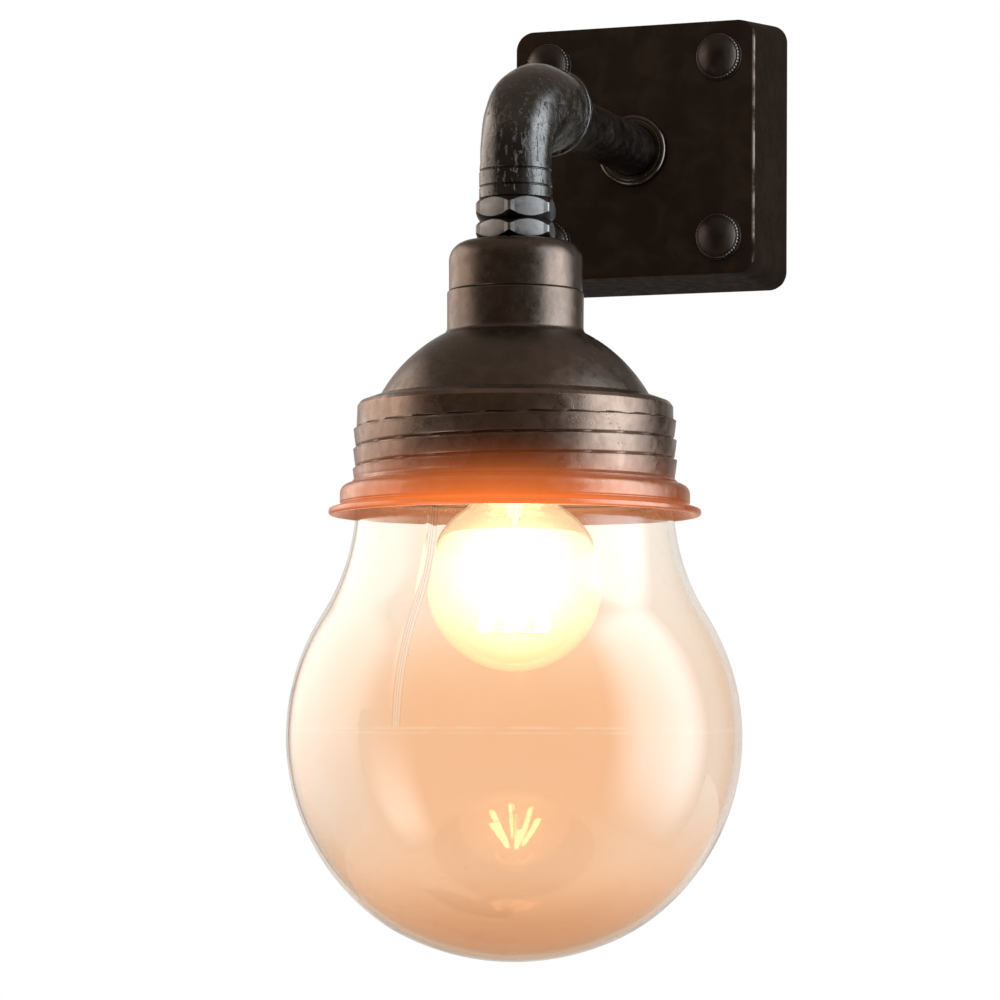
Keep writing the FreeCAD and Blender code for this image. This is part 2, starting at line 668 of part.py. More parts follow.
def chamfered_nut(body, flats, face_r, bore_r, bottom, top):
    """Hexagon prism whose corners are turned off by 45-degree cones at both faces."""
    prism = add_sketch(body, "XY_Plane", "nut_hexagon", bottom)
    hexagon(prism, flats)
    circle(prism, 0, 0, bore_r)
    pad(body, "nut_prism", prism, top - bottom)
    far = flats * 0.65
    rise = far - face_r
    corners = add_sketch(body, "XZ_Plane", "nut_chamfers")
    outline(corners, [(face_r, top), (far, top), (far, top - rise)])
    outline(corners, [(face_r, bottom), (far, bottom + rise), (far, bottom)])
    body.Document.recompute()
    groove(body, "nut_turned_corners", corners)


def pipe_collar(doc, size):
    """Ring with a rounded edge where the pipe leaves the box."""
    seat = size.box_depth
    front = seat + size.collar_ring_depth
    edge = size.collar_ring_edge_r
    revolved(doc, "pipe_collar", size, [
        (size.pipe_hole_r, seat), (size.collar_ring_r, seat),
        (size.collar_ring_r, front - edge, edge, "left"),
        (size.collar_ring_r - edge, front), (size.pipe_hole_r, front),
    ], on_wall=True)


def wall_pipe(doc, size):
    body = wall_body(doc, "wall_pipe")
    section = add_sketch(body, "XY_Plane", "pipe_section", size.pipe_start)
    circle(section, 0, 0, size.pipe_r)
    circle(section, 0, 0, size.pipe_bore_r)
    reach = size.wall_to_lamp - size.elbow_mouth + size.socket_depth
    pad(body, "pipe_pad", section, reach - size.pipe_start)


def elbow(doc, size):
    """Cast elbow: a bend that swells towards its beaded mouth, a banded foot, and a socket at each end."""
    body = lamp_body(doc, "elbow", size)
    bend = size.elbow_bend_r
    spine = add_sketch(body, "YZ_Plane", "bend_line")
    quarter_bend(spine, bend)
    leg = add_sketch(body, "XY_Plane", "leg_section", -bend)
    circle(leg, 0, 0, size.elbow_neck_r)
    mouth = add_sketch(body, "XZ_Plane", "mouth_section", -bend)
    circle(mouth, 0, 0, size.elbow_mouth_r)
    doc.recompute()
    sweep = body.newObject("PartDesign::AdditivePipe", "bend_sweep")
    sweep.Profile = leg
    sweep.Spine = (spine, ["Edge1"])
    sweep.Sections = [(mouth, [""])]
    sweep.Transformation = "Multisection"
    doc.recompute()
    elbow_leg(body, size, bend)
    elbow_mouth(body, size, bend)
    elbow_ways(body, size, bend)


def quarter_bend(sketch, bend):
    """Quarter circle from straight below the bend's start to level with the pipe."""
    centre = FreeCAD.Vector(bend.value, -bend.value, 0)
    circle_line = Part.Circle(centre, FreeCAD.Vector(0, 0, 1), bend.value)
    edge = sketch.addGeometry(Part.ArcOfCircle(circle_line, math.pi / 2, math.pi), False)
    bind(sketch, Sketcher.Constraint("Radius", edge, bend.value), bend.text)
    place_point(sketch, edge, 1, bend, Measure.of(0))
    place_point(sketch, edge, 2, Measure.of(0), -bend)


def elbow_leg(body, size, bend):
    """Vertical leg: it widens slightly to a foot with two turned grooves."""
    leg = add_sketch(body, "XZ_Plane", "leg_outline")
    line = size.elbow_line_width / 2
    floor = size.elbow_foot_r - size.elbow_line_depth
    upper, lower = size.elbow_line_upper, size.elbow_line_lower
    outline(leg, [
        (0, -bend), (size.elbow_neck_r, -bend), (size.elbow_foot_r, -(upper - line)),
        (floor, -(upper - line)), (floor, -(upper + line)), (size.elbow_foot_r, -(upper + line)),
        (size.elbow_foot_r, -(lower - line)), (floor, -(lower - line)),
        (floor, -(lower + line)), (size.elbow_foot_r, -(lower + line)),
        (size.elbow_foot_r, -size.elbow_end), (0, -size.elbow_end),
    ])
    revolve(body, "leg_turned", leg)


def elbow_mouth(body, size, bend):
    """Horizontal mouth: a short straight, a turned groove and a rounded bead."""
    mouth = add_sketch(body, "YZ_Plane", "mouth_outline")
    line = size.elbow_line_width / 2
    floor = size.elbow_mouth_r - size.elbow_line_depth
    bead = size.elbow_bead_r
    start = size.elbow_groove + line
    middle = (start + size.elbow_mouth) / 2
    half = (size.elbow_mouth - start) / 2
    crown = bead - size.elbow_mouth_r
    curve = (half * half + crown * crown) / (crown * 2)
    outline(mouth, [
        (bend, 0), (size.elbow_mouth, 0), (size.elbow_mouth, size.elbow_mouth_r, curve, "left"),
        (middle, bead, curve, "left"), (start, size.elbow_mouth_r), (start, floor),
        (size.elbow_groove - line, floor), (size.elbow_groove - line, size.elbow_mouth_r),
        (bend, size.elbow_mouth_r),
    ])
    turned = body.newObject("PartDesign::Revolution", "mouth_turned")
    turned.Profile = mouth
    turned.ReferenceAxis = (mouth, ["H_Axis"])
    turned.Angle = 360
    body.Document.recompute()


def elbow_ways(body, size, bend):
    """Bore round the bend and a threaded socket in each end."""
    spine = add_sketch(body, "YZ_Plane", "bore_line")
    quarter_bend(spine, bend)
    section = add_sketch(body, "XY_Plane", "bore_section", -bend)
    circle(section, 0, 0, size.elbow_bore_r)
    body.Document.recompute()
    before = body.Tip
    bore = body.newObject("PartDesign::SubtractivePipe", "bend_bore")
    bore.Profile = section
    bore.Spine = (spine, ["Edge1"])
    body.Document.recompute()
    require_cut(bore, before)
    ends = add_sketch(body, "XZ_Plane", "lower_socket")
    outline(ends, [
        (0, -bend), (size.elbow_bore_r, -bend), (size.elbow_bore_r, -(size.elbow_end - size.socket_depth)),
        (size.nipple_hole_r, -(size.elbow_end - size.socket_depth)), (size.nipple_hole_r, -size.elbow_end),
        (0, -size.elbow_end),
    ])
    groove(body, "lower_socket_cut", ends)
    mouth = add_sketch(body, "YZ_Plane", "mouth_socket")
    floor = size.elbow_mouth - size.socket_depth
    outline(mouth, [
        (bend, 0), (size.elbow_mouth, 0), (size.elbow_mouth, size.pipe_hole_r),
        (floor, size.pipe_hole_r), (floor, size.elbow_bore_r), (bend, size.elbow_bore_r),
    ])
    groove(body, "mouth_socket_cut", mouth, "H_Axis")


def nipple(doc, size):
    """Threaded tube that carries the lamp's head under the elbow."""
    body = lamp_body(doc, "nipple", size)
    section = add_sketch(body, "XY_Plane", "nipple_section", -size.nipple_end)
    circle(section, 0, 0, size.nipple_r)
    circle(section, 0, 0, size.nipple_bore_r)
    pad(body, "nipple_pad", section, size.nipple_end - size.elbow_end + size.socket_depth)


def lock_nuts(doc, size):
    upper = lamp_body(doc, "upper_lock_nut", size, size.lock_nut_turn)
    chamfered_nut(upper, size.lock_nut_flats, size.lock_nut_face_r, size.nipple_hole_r,
                  -size.lock_nut_split, -size.elbow_end)
    lower = lamp_body(doc, "lower_lock_nut", size, size.lock_nut_turn)
    chamfered_nut(lower, size.lock_nut_flats, size.lock_nut_face_r, size.nipple_hole_r,
                  -size.cap_top, -size.lock_nut_split)


# ---------------------------------------------------------------- lamp head


def neck_cap(doc, size):
    """Hollow cap with a rounded shoulder over the canopy's neck."""
    top, joint, bevel = size.cap_top, size.neck_joint, size.neck_joint_bevel
    shoulder = size.cap_shoulder_r
    inner_r = size.cap_r - size.cap_wall
    inner_shoulder = shoulder - size.cap_wall
    revolved(doc, "neck_cap", size, [
        (size.nipple_hole_r, -(top + size.cap_wall)),
        (inner_r - inner_shoulder, -(top + size.cap_wall), inner_shoulder, "right"),
        (inner_r, -(top + shoulder)), (inner_r, -joint), (size.cap_r - bevel, -joint),
        (size.cap_r, -(joint - bevel)), (size.cap_r, -(top + shoulder), shoulder, "left"),
        (size.cap_r - shoulder, -top), (size.nipple_hole_r, -top),
    ])


def canopy(doc, size):
    """Cast dome with the lower half of the neck and three screw lugs inside its foot."""
    dome, centre, wall = size.dome_r, size.dome_centre, size.canopy_wall
    fillet, neck = size.dome_fillet_r, size.neck_r
    joint, bevel, foot = size.neck_joint, size.neck_joint_bevel, size.canopy_foot
    inner_dome, inner_neck = dome - wall, neck - wall
    fillet_x = neck + fillet
    fillet_rise = ((dome + fillet) * (dome + fillet) - fillet_x * fillet_x).root()
    share = dome / (dome + fillet)
    outer_foot = (dome * dome - (centre - foot) * (centre - foot)).root()
    inner_foot = (inner_dome * inner_dome - (centre - foot) * (centre - foot)).root()
    inner_rise = (inner_dome * inner_dome - inner_neck * inner_neck).root()
    body = revolved(doc, "canopy", size, [
        (size.nipple_hole_r, -joint), (size.nipple_hole_r, -(joint + size.canopy_plate)),
        (inner_neck, -(joint + size.canopy_plate)),
        (inner_neck, inner_rise - centre, inner_dome, "right"),
        (inner_foot, -foot), (outer_foot, -foot, dome, "left"),
        (fillet_x * share, fillet_rise * share - centre, fillet, "right"),
        (neck, fillet_rise - centre), (neck, -(joint + bevel)), (neck - bevel, -joint),
    ])
    lugs = add_sketch(body, "XY_Plane", "lug", -foot)
    circle(lugs, size.lug_circle_r, 0, size.lug_r)
    lug = pad(body, "lug_pad", lugs, size.lug_height)
    doc.recompute()
    polar(body, "three_lugs", lug, 3)
    doc.recompute()
    holes = add_sketch(body, "XY_Plane", "lug_hole", -foot)
    circle(holes, size.lug_circle_r, 0, size.lug_hole_r)
    hole = pocket(body, "lug_hole_cut", holes, size.lug_height * 0.75, reverse=True)
    polar(body, "three_lug_holes", hole, 3)


def screw_collar(doc, size):
    """Ring under the canopy with a thread rolled through its wall.

    The outside shows the thread as a helical rib, the inside as the groove that the glass's own
    thread runs in. Below it the ring steps out to a foot and a flared rim.
    """
    foot, top = size.canopy_foot, size.collar_top
    flange_bottom = foot + size.collar_flange
    edge, step_edge = size.collar_edge_r, size.step_edge_r
    foot_fillet = size.step_r - step_edge - size.collar_lower_r
    body = revolved(doc, "screw_collar", size, [
        (size.collar_flange_r, -foot), (size.collar_flange_r, -flange_bottom),
        (size.collar_bore_r, -flange_bottom), (size.collar_bore_r, -(size.step_inner_top - 2)),
        (size.collar_bore_r + 2, -size.step_inner_top), (size.step_inner_r - 1, -size.step_inner_top),
        (size.step_inner_r, -(size.step_inner_top + 1)), (size.step_inner_r, -size.step_groove),
        (size.rim_inner_r, -size.rim_bottom), (size.rim_r - 1, -size.rim_bottom),
        (size.rim_r, -(size.rim_bottom - 1)), (size.rim_r, -size.rim_edge),
        (size.step_r, -(size.step_groove + 0.2)), (size.step_groove_r, -size.step_groove),
        (size.step_groove_r, -size.step_bottom), (size.step_r, -size.step_bottom),
        (size.step_r, -(size.step_top + step_edge), step_edge, "left"),
        (size.step_r - step_edge, -size.step_top, foot_fillet, "right"),
        (size.collar_lower_r, foot_fillet - size.step_top),
        (size.collar_upper_r, -size.collar_edge, edge, "left"),
        (size.collar_shoulder_r, -size.collar_shoulder), (size.collar_top_r, -top),
        (size.collar_top_r, -foot),
    ])
    outer_rib(body, size)
    ring = add_sketch(body, "XZ_Plane", "foot_groove_section")
    half = size.foot_groove_width / 2
    middle, floor, outside = -size.foot_groove, size.foot_groove_r, size.step_r
    outline(ring, [
        (floor, middle - half), (outside, middle - half), (outside, middle + half), (floor, middle + half),
    ])
    groove(body, "foot_groove_cut", ring)
    inner_groove(body, size)
    flange_holes(body, size)


def outer_rib(body, size):
    """Sawtooth rib: sharp at its upper edge and running out downwards."""
    angle = size.rib_start_angle
    start = size.thread_pitch * angle / 360 - size.rib_start
    root = size.collar_upper_r - 1
    section = add_sketch(body, "XZ_Plane", "rib_section", turn=angle.value)
    outline(section, [
        (root, start), (size.collar_upper_r, start), (size.rib_crest_r, start - size.rib_crest),
        (size.collar_lower_r - 0.2, start - size.rib_height), (root, start - size.rib_height),
    ])
    body.Document.recompute()
    helix(body, "AdditiveHelix", "rolled_rib", section, size.thread_pitch, size.rib_turns)
    body.Document.recompute()


def inner_groove(body, size):
    """Groove for the glass's thread. It starts below the bore, so that the glass can run out."""
    before = body.Tip
    angle = size.rib_start_angle
    middle = size.thread_pitch * angle / 360 - size.rib_start - size.rib_height / 2
    section = add_sketch(body, "XZ_Plane", "groove_section", turn=angle.value)
    thread_section(section, size.collar_bore_r - 0.5, size.groove_mouth, size.groove_floor_r,
                   size.groove_floor, middle - size.thread_pitch * 0.75)
    body.Document.recompute()
    cut = helix(body, "SubtractiveHelix", "rolled_groove", section, size.thread_pitch, size.groove_turns)
    body.Document.recompute()
    require_cut(cut, before)


def thread_section(sketch, root_r, root_width, crest_r, crest_width, middle):
    """Trapezium between a wide root and a narrow crest."""
    outline(sketch, [
        (root_r, middle - root_width / 2), (crest_r, middle - crest_width / 2),
        (crest_r, middle + crest_width / 2), (root_r, middle + root_width / 2),
    ])


def flange_holes(body, size):
    """Three holes in the flange for the screws that hold it to the canopy's lugs."""
    holes = add_sketch(body, "XY_Plane", "flange_hole", -size.canopy_foot)
    circle(holes, size.lug_circle_r, 0, size.lug_hole_r + 0.15)
    hole = pocket(body, "flange_hole_cut", holes, size.collar_flange)
    polar(body, "three_flange_holes", hole, 3)


def collar_screws(doc, size):
    """Three pan-head screws up through the collar's flange."""
    body = lamp_body(doc, "collar_screws", size)
    under = -(size.canopy_foot + size.collar_flange)
    heads = add_sketch(body, "XY_Plane", "collar_screw_head", under)
    circle(heads, size.lug_circle_r, 0, size.lug_hole_r * 1.9)
    head = pad(body, "collar_screw_head_pad", heads, size.washer_depth, reverse=True)
    shanks = add_sketch(body, "XY_Plane", "collar_screw_shank", under)
    circle(shanks, size.lug_circle_r, 0, size.lug_hole_r - 0.1)
    shank = pad(body, "collar_screw_shank_pad", shanks, size.collar_flange + size.lug_height * 0.7)
    doc.recompute()
    pattern = body.newObject("PartDesign::PolarPattern", "three_screws")
    pattern.Originals = [head, shank]
    pattern.Axis = (plane(body, "Z_Axis"), [""])
    pattern.Angle = 360
    pattern.Occurrences = 3
    body.Tip = pattern


def globe_seal(doc, size):
    revolved(doc, "globe_seal", size, [
        (size.seal_inner_r, -size.seal_bottom), (size.seal_outer_r, -size.seal_bottom),
        (size.seal_outer_r, -size.seal_top), (size.seal_inner_r, -size.seal_top),
    ])


def globe(doc, size):
    """Blown glass globe: ball with a flattened bottom, flared neck, and a screw neck with a thread.

    The flare touches the ball and the neck. The turn touches the ball and the bottom's curve from
    inside, so its centre lies ball - turn from the ball's centre and base - turn from the base's.
    """
    ball, centre, wall = size.globe_r, size.globe_centre, size.globe_wall
    neck, flare_top = size.globe_neck_r, size.globe_flare_top
    rise = centre - flare_top
    flare = (neck * neck + rise * rise - ball * ball) / ((ball - neck) * 2)
    share = ball / (ball + flare)
    inner_share = (ball - wall) / (ball + flare)
    base, turn = size.globe_base_r, size.globe_turn_r
    base_centre = size.globe_base - base
    gap = centre - base_centre
    reach, base_reach = ball - turn, base - turn
    turn_drop = (base_reach * base_reach - reach * reach + gap * gap) / (gap * 2)
    turn_side = (base_reach * base_reach - turn_drop * turn_drop).root()
    upper_r = size.globe_shoulder_r
    revolved_corners = [
        (0, -size.globe_base, base, "left"),
        (turn_side * (base / base_reach), -(base_centre + turn_drop * (base / base_reach)), turn, "left"),
        (turn_side * (ball / reach), -(centre + (turn_drop - gap) * (ball / reach)), ball, "left"),
        ((neck + flare) * share, rise * share - centre, flare, "right"),
        (neck, -flare_top), (upper_r, -size.globe_shoulder), (upper_r, -size.globe_lip),
        (upper_r - wall, -size.globe_lip), (upper_r - wall, -(size.globe_shoulder + 1)),
        (neck - wall, -(flare_top + 1), flare + wall, "left"),
        ((neck + flare) * inner_share, rise * inner_share - centre, ball - wall, "right"),
        (turn_side * ((ball - wall) / reach), -(centre + (turn_drop - gap) * ((ball - wall) / reach)),
         turn - wall, "right"),
        (turn_side * ((base - wall) / base_reach), -(base_centre + turn_drop * ((base - wall) / base_reach)),
         base - wall, "right"),
        (0, wall - size.globe_base),
    ]
    body = revolved(doc, "globe", size, revolved_corners)
    section = add_sketch(body, "XZ_Plane", "bead_section", turn=size.rib_start_angle.value)
    angle = size.rib_start_angle
    groove_middle = (size.thread_pitch * angle / 360 - size.rib_start - size.rib_height / 2
                     + size.thread_pitch / 4)
    thread_section(section, upper_r - 0.8, size.bead_foot, size.bead_crest_r, size.bead_crest,
                   groove_middle + size.thread_pitch)
    doc.recompute()
    helix(body, "AdditiveHelix", "glass_thread", section, size.thread_pitch, size.bead_turns)
    doc.recompute()


# ---------------------------------------------------------------- lamp holder


def nipple_washer(doc, size):
    seat = size.neck_joint + size.canopy_plate
    revolved(doc, "nipple_washer", size, [
        (size.nipple_hole_r, -(seat + size.washer_depth)), (size.washer_r, -(seat + size.washer_depth)),
        (size.washer_r, -seat), (size.nipple_hole_r, -seat),
    ])


def nipple_nut(doc, size):
    body = lamp_body(doc, "nipple_nut", size)
    seat = size.neck_joint + size.canopy_plate + size.washer_depth
    chamfered_nut(body, size.nipple_nut_flats, size.nipple_nut_flats * 0.48, size.nipple_hole_r,
                  -(seat + size.nipple_nut_depth), -seat)


def holder_cap(doc, size):
    """Metal cap that screws on the nipple under the nut and covers the terminals."""
    top = size.neck_joint + size.canopy_plate + size.washer_depth + size.nipple_nut_depth
    wall, skirt, end = size.holder_cap_wall, size.holder_cap_skirt, size.holder_cap_end
    revolved(doc, "holder_cap", size, [
        (size.nipple_hole_r, -top), (size.nipple_hole_r, -(size.nipple_end - 0.2)),
        (size.holder_cap_top_r - wall, -(size.nipple_end - 0.2)),
        (size.holder_cap_r - wall, -(skirt + wall / 2)), (size.holder_cap_r - wall, -end),
        (size.holder_cap_r, -end), (size.holder_cap_r, -skirt), (size.holder_cap_top_r, -top),
    ])


def holder_body(doc, size):
    """Ceramic body: a terminal recess above, a cavity for the lamp cap below, two lead ways between."""
    top, end = size.holder_top, size.holder_end
    shell = size.shell_r + size.shell_wall
    body = revolved(doc, "holder_body", size, [
        (0, -(top + size.holder_recess)), (0, -size.holder_cavity_top), (shell, -size.holder_cavity_top),
        (shell, -end), (size.holder_r - 1, -end), (size.holder_r, -(end - 1)), (size.holder_r, -(top + 3)),
        (size.holder_r - 3, -top), (size.holder_recess_r, -top),
        (size.holder_recess_r, -(top + size.holder_recess)),
    ])
    ways = add_sketch(body, "XY_Plane", "lead_ways", -(top + size.holder_recess))
    circle(ways, 0, size.holder_lead_offset, size.lead_r * 1.4)
    circle(ways, 0, -size.holder_lead_offset, size.lead_r * 1.4)
    pocket(body, "lead_ways_cut", ways, size.holder_cavity_top - top)


def holder_shell(doc, size):
    top = size.holder_cavity_top
    revolved(doc, "holder_shell", size, [
        (size.shell_r, -size.shell_end), (size.shell_r + size.shell_wall, -size.shell_end),
        (size.shell_r + size.shell_wall, -top), (size.shell_r, -top),
    ])


def centre_contact(doc, size):
    top = size.holder_cavity_top
    bottom = top + size.contact_depth
    revolved(doc, "centre_contact", size, [
        (0, -bottom), (size.contact_r * 0.7, -bottom), (size.contact_r, -(bottom - 1)),
        (size.contact_r, -top), (0, -top),
    ])


def terminal_screws(doc, size):
    body = lamp_body(doc, "terminal_screws", size)
    floor = -(size.holder_top + size.holder_recess)
    heads = add_sketch(body, "XY_Plane", "terminal_heads", floor)
    circle(heads, size.holder_lead_offset, 0, size.terminal_r)
    circle(heads, -size.holder_lead_offset, 0, size.terminal_r)
    pad(body, "terminal_heads_pad", heads, size.terminal_height)


# ---------------------------------------------------------------- bulb


def bulb_glass(doc, size):
    """Blown envelope: ball, concave neck, taper and the stub inside the cap."""
    ball, centre, wall = size.bulb_r, size.bulb_centre, size.bulb_wall
    neck, fillet = size.bulb_neck_r, size.bulb_neck_fillet_r
    rise = ((ball + fillet) * (ball + fillet) - (neck + fillet) * (neck + fillet)).root()
    share = ball / (ball + fillet)
    inner_ball = ball - wall
    inner_share = inner_ball / (ball + fillet)
    stub, stub_top = size.bulb_stub_r, size.bulb_stub_top
    revolved(doc, "bulb_glass", size, [
        (0, -(centre + ball), ball, "left"), (ball, -centre, ball, "left"),
        ((neck + fillet) * share, rise * share - centre, fillet, "right"),
        (neck, rise - centre), (stub, -(size.screw_cap_bottom + 0.3)), (stub, -stub_top),
        (stub - wall, -stub_top), (stub - wall, -(size.screw_cap_bottom + 0.3)),
        (neck - wall, rise - centre, fillet + wall, "left"),
        ((neck + fillet) * inner_share, rise * inner_share - centre, inner_ball, "right"),
        (inner_ball, -centre, inner_ball, "right"), (0, -(centre + inner_ball)),
    ])


def bulb_cap(doc, size):
    outer = size.screw_cap_r
    wall = size.screw_cap_wall
    bottom, top, hole = size.screw_cap_bottom, size.screw_cap_top, size.screw_cap_hole_r
    revolved(doc, "bulb_cap", size, [
        (outer - wall, -bottom), (outer, -bottom), (outer, -(top + 2)), (outer - 2, -top), (hole, -top),
        (hole, -(top + wall)), (outer - wall - 2, -(top + wall)), (outer - wall, -(top + 2 + wall)),
    ])


def bulb_insulator(doc, size):
    top, seat = size.insulator_top, size.screw_cap_top
    revolved(doc, "bulb_insulator", size, [
        (0, -seat), (size.insulator_r, -seat), (size.tip_r, -top), (0, -top),
    ])


def bulb_tip(doc, size):
    """Solder dome on the insulator."""
    top, seat = size.tip_top, size.insulator_top
    height = seat - top
    curve = (size.tip_r * size.tip_r + height * height) / (height * 2)
    revolved(doc, "bulb_tip", size, [(0, -seat), (size.tip_r, -seat, curve, "left"), (0, -top)])


def bulb_stem(doc, size):
    """Glass stem: a flange in the neck, a tapered tube and a thin rod for the filament supports."""
    flange_top = size.bulb_stub_top + 0.5
    revolved(doc, "bulb_stem", size, [
        (0, -size.stem_rod_end), (size.stem_rod_r, -size.stem_rod_end),
        (size.stem_rod_r, -size.stem_rod_start), (size.stem_r * 0.6, -(size.stem_rod_start - 4)),
        (size.stem_r, -(flange_top + 8)), (size.stem_flange_r, -(flange_top + 2)),
        (size.stem_flange_r, -flange_top), (0, -flange_top),
    ])


def bulb_filaments(doc, size):
    """Slanted filament strips, evenly spaced round the rod."""
    body = lamp_body(doc, "bulb_filaments", size)
    upper, lower = size.strip_upper_ring_r, size.strip_lower_ring_r
    top, bottom, half = size.strip_top, size.strip_bottom, size.strip_r
    lean = FreeCAD.Vector(lower.value - upper.value, 0, top.value - bottom.value).normalize()
    strip = body.newObject("PartDesign::AdditiveCylinder", "strip")
    strip.Radius = half.value
    strip.Height = math.hypot(lower.value - upper.value, bottom.value - top.value)
    strip.AttachmentOffset = FreeCAD.Placement()
    strip.Placement = FreeCAD.Placement(
        FreeCAD.Vector(upper.value, 0, -top.value), FreeCAD.Rotation(FreeCAD.Vector(0, 0, 1), lean)
    )
    doc.recompute()
    polar(body, "strips_round_rod", strip, int(size.strip_count.value))


def filament_supports(doc, size):
    """Radial wires from the stem to both ends of each strip."""
    body = lamp_body(doc, "filament_supports", size)
    wires = []
    for name, drop, inner, outer in (
        ("upper_wire", size.strip_top - 0.5, size.stem_rod_r, size.strip_upper_ring_r),
        ("lower_wire", size.strip_bottom + 0.5, size.stem_rod_r, size.strip_lower_ring_r),
    ):
        section = add_sketch(body, "YZ_Plane", f"{name}_section", inner)
        circle(section, 0, -drop, size.wire_r)
        wires.append(pad(body, name, section, outer - inner))
        doc.recompute()
    pattern = body.newObject("PartDesign::PolarPattern", "wires_round_rod")
    pattern.Originals = wires
    pattern.Axis = (plane(body, "Z_Axis"), [""])
    pattern.Angle = 360
    pattern.Occurrences = int(size.strip_count.value)
    body.Tip = pattern


# ---------------------------------------------------------------- leads


def rounded_path(points, radii):
    """Wire of straight runs joined by tangent arcs, one radius for each inner point."""
    edges = []
    start = points[0]
    for before, corner, after, radius in zip(points, points[1:], points[2:], radii):
        into = (before - corner).normalize()
        out = (after - corner).normalize()
        half_angle = into.getAngle(out) / 2
        reach = radius / math.tan(half_angle)
        bisector = (into + out).normalize()
        centre = corner + bisector * (radius / math.sin(half_angle))
        first = corner + into * reach
        last = corner + out * reach
        edges.append(Part.LineSegment(start, first).toShape())
        edges.append(Part.Arc(first, centre - bisector * radius, last).toShape())
        start = last
    edges.append(Part.LineSegment(start, points[-1]).toShape())
    return Part.Wire(edges)


def lead(doc, label, size, points, radii):
    """Insulated lead of round section along a path of runs and arcs."""
    path = rounded_path(points, radii)
    first = path.Edges[0]
    direction = first.tangentAt(first.FirstParameter)
    ring = Part.Wire(Part.makeCircle(size.lead_r.value, points[0], direction))
    feature = doc.addObject("Part::Feature", label)
    feature.Label = label
    feature.Shape = path.makePipeShell([ring], True, False)
    feature.Placement = FreeCAD.Placement()
    print(f"{label}: length {path.Length:.1f} mm, volume {feature.Shape.Volume:.0f} mm3, "
          f"section times length {math.pi * size.lead_r.value**2 * path.Length:.0f} mm3")


def lamp_leads(doc, size):
    """Live and neutral leads through pipe, bend and nipple to the holder, and an earth lead in the box."""
    block = size.block_rise.value - size.block_height.value / 2
    way_y = -(size.bracket_depth.value + size.block_depth.value / 2)
    lamp_y = -size.wall_to_lamp.value
    bend = size.elbow_bend_r.value
    entry_y = -(size.pipe_start.value - 3)
    floor = -(size.holder_top.value + size.holder_recess.value)
    for label, side, way in (("live_lead", -1, -1), ("neutral_lead", 1, 0)):
        beside = side * size.lead_gap.value
        way_x = way * size.block_pitch.value
        points = [
            FreeCAD.Vector(way_x, way_y, block + size.block_height.value / 2),
            FreeCAD.Vector(way_x, way_y, block - 12),
            FreeCAD.Vector(beside, entry_y + 3, 0),
            FreeCAD.Vector(beside, lamp_y, 0),
            FreeCAD.Vector(beside, lamp_y, -size.nipple_end.value - 3),
            FreeCAD.Vector(side * size.holder_lead_offset.value * 0.6, lamp_y, floor + 1.6),
        ]
        lead(doc, label, size, points, [8.0, 7.0, bend, 5.0])
    plate_y = -(size.bracket_depth.value + size.lead_r.value + 0.3)
    head_edge = size.earth_offset.value - size.earth_head_r.value - 0.4
    lead(doc, "earth_lead", size, [
        FreeCAD.Vector(size.block_pitch.value, way_y, block + size.block_height.value / 2),
        FreeCAD.Vector(size.block_pitch.value, way_y, block - 6),
        FreeCAD.Vector(head_edge - 7, plate_y, 2),
        FreeCAD.Vector(head_edge - 7, plate_y, -size.cable_drop.value),
        FreeCAD.Vector(head_edge, plate_y, -size.cable_drop.value),
    ], [6.0, 8.0, 5.0])


# ---------------------------------------------------------------- whole light


def check(doc):
    """Stop if anything failed to build."""
    for item in doc.Objects:
        if "Invalid" in item.State or "Error" in item.State:
            raise RuntimeError(f"{item.Label} did not build: {item.State}")


def write_parts(doc):
    os.makedirs("parts", exist_ok=True)
    for item in doc.Objects:
        if item.TypeId not in ("PartDesign::Body", "Part::Feature"):
            continue
        if item.Shape.isNull() or not item.Shape.isValid():
            raise RuntimeError(f"{item.Label} has no valid shape")
        item.Shape.exportStep(f"parts/{item.Label}.step")
        print(f"{item.Label}: {len(item.Shape.Solids)} solids, {item.Shape.Volume / 1000:.2f} cm3")


def main():
    doc = FreeCAD.newDocument("pipe_wall_light")
    size = Sizes(make_sheet(doc))
    for piece in (
        wall_gasket, wall_bracket, bracket_studs, back_box, dome_nuts, cable_grommet, terminal_block,
        earth_screw, pipe_back_nut, pipe_collar, wall_pipe, elbow, nipple, lock_nuts, neck_cap, canopy,
        screw_collar, collar_screws, globe_seal, globe, nipple_washer, nipple_nut, holder_cap,
        holder_body, holder_shell, centre_contact, terminal_screws, bulb_glass, bulb_cap,
        bulb_insulator, bulb_tip, bulb_stem, bulb_filaments, filament_supports, lamp_leads,
    ):
        piece(doc, size)
        doc.recompute()
    check(doc)
    write_parts(doc)


main()
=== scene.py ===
"""Looks for a wall light made of pipe fittings: cast metal, clear blown glass and a lit filament lamp."""

import logging
import math
from dataclasses import dataclass, field
from enum import Enum
from typing import Sequence

import bpy
import numpy as np
from mathutils import Matrix, Vector


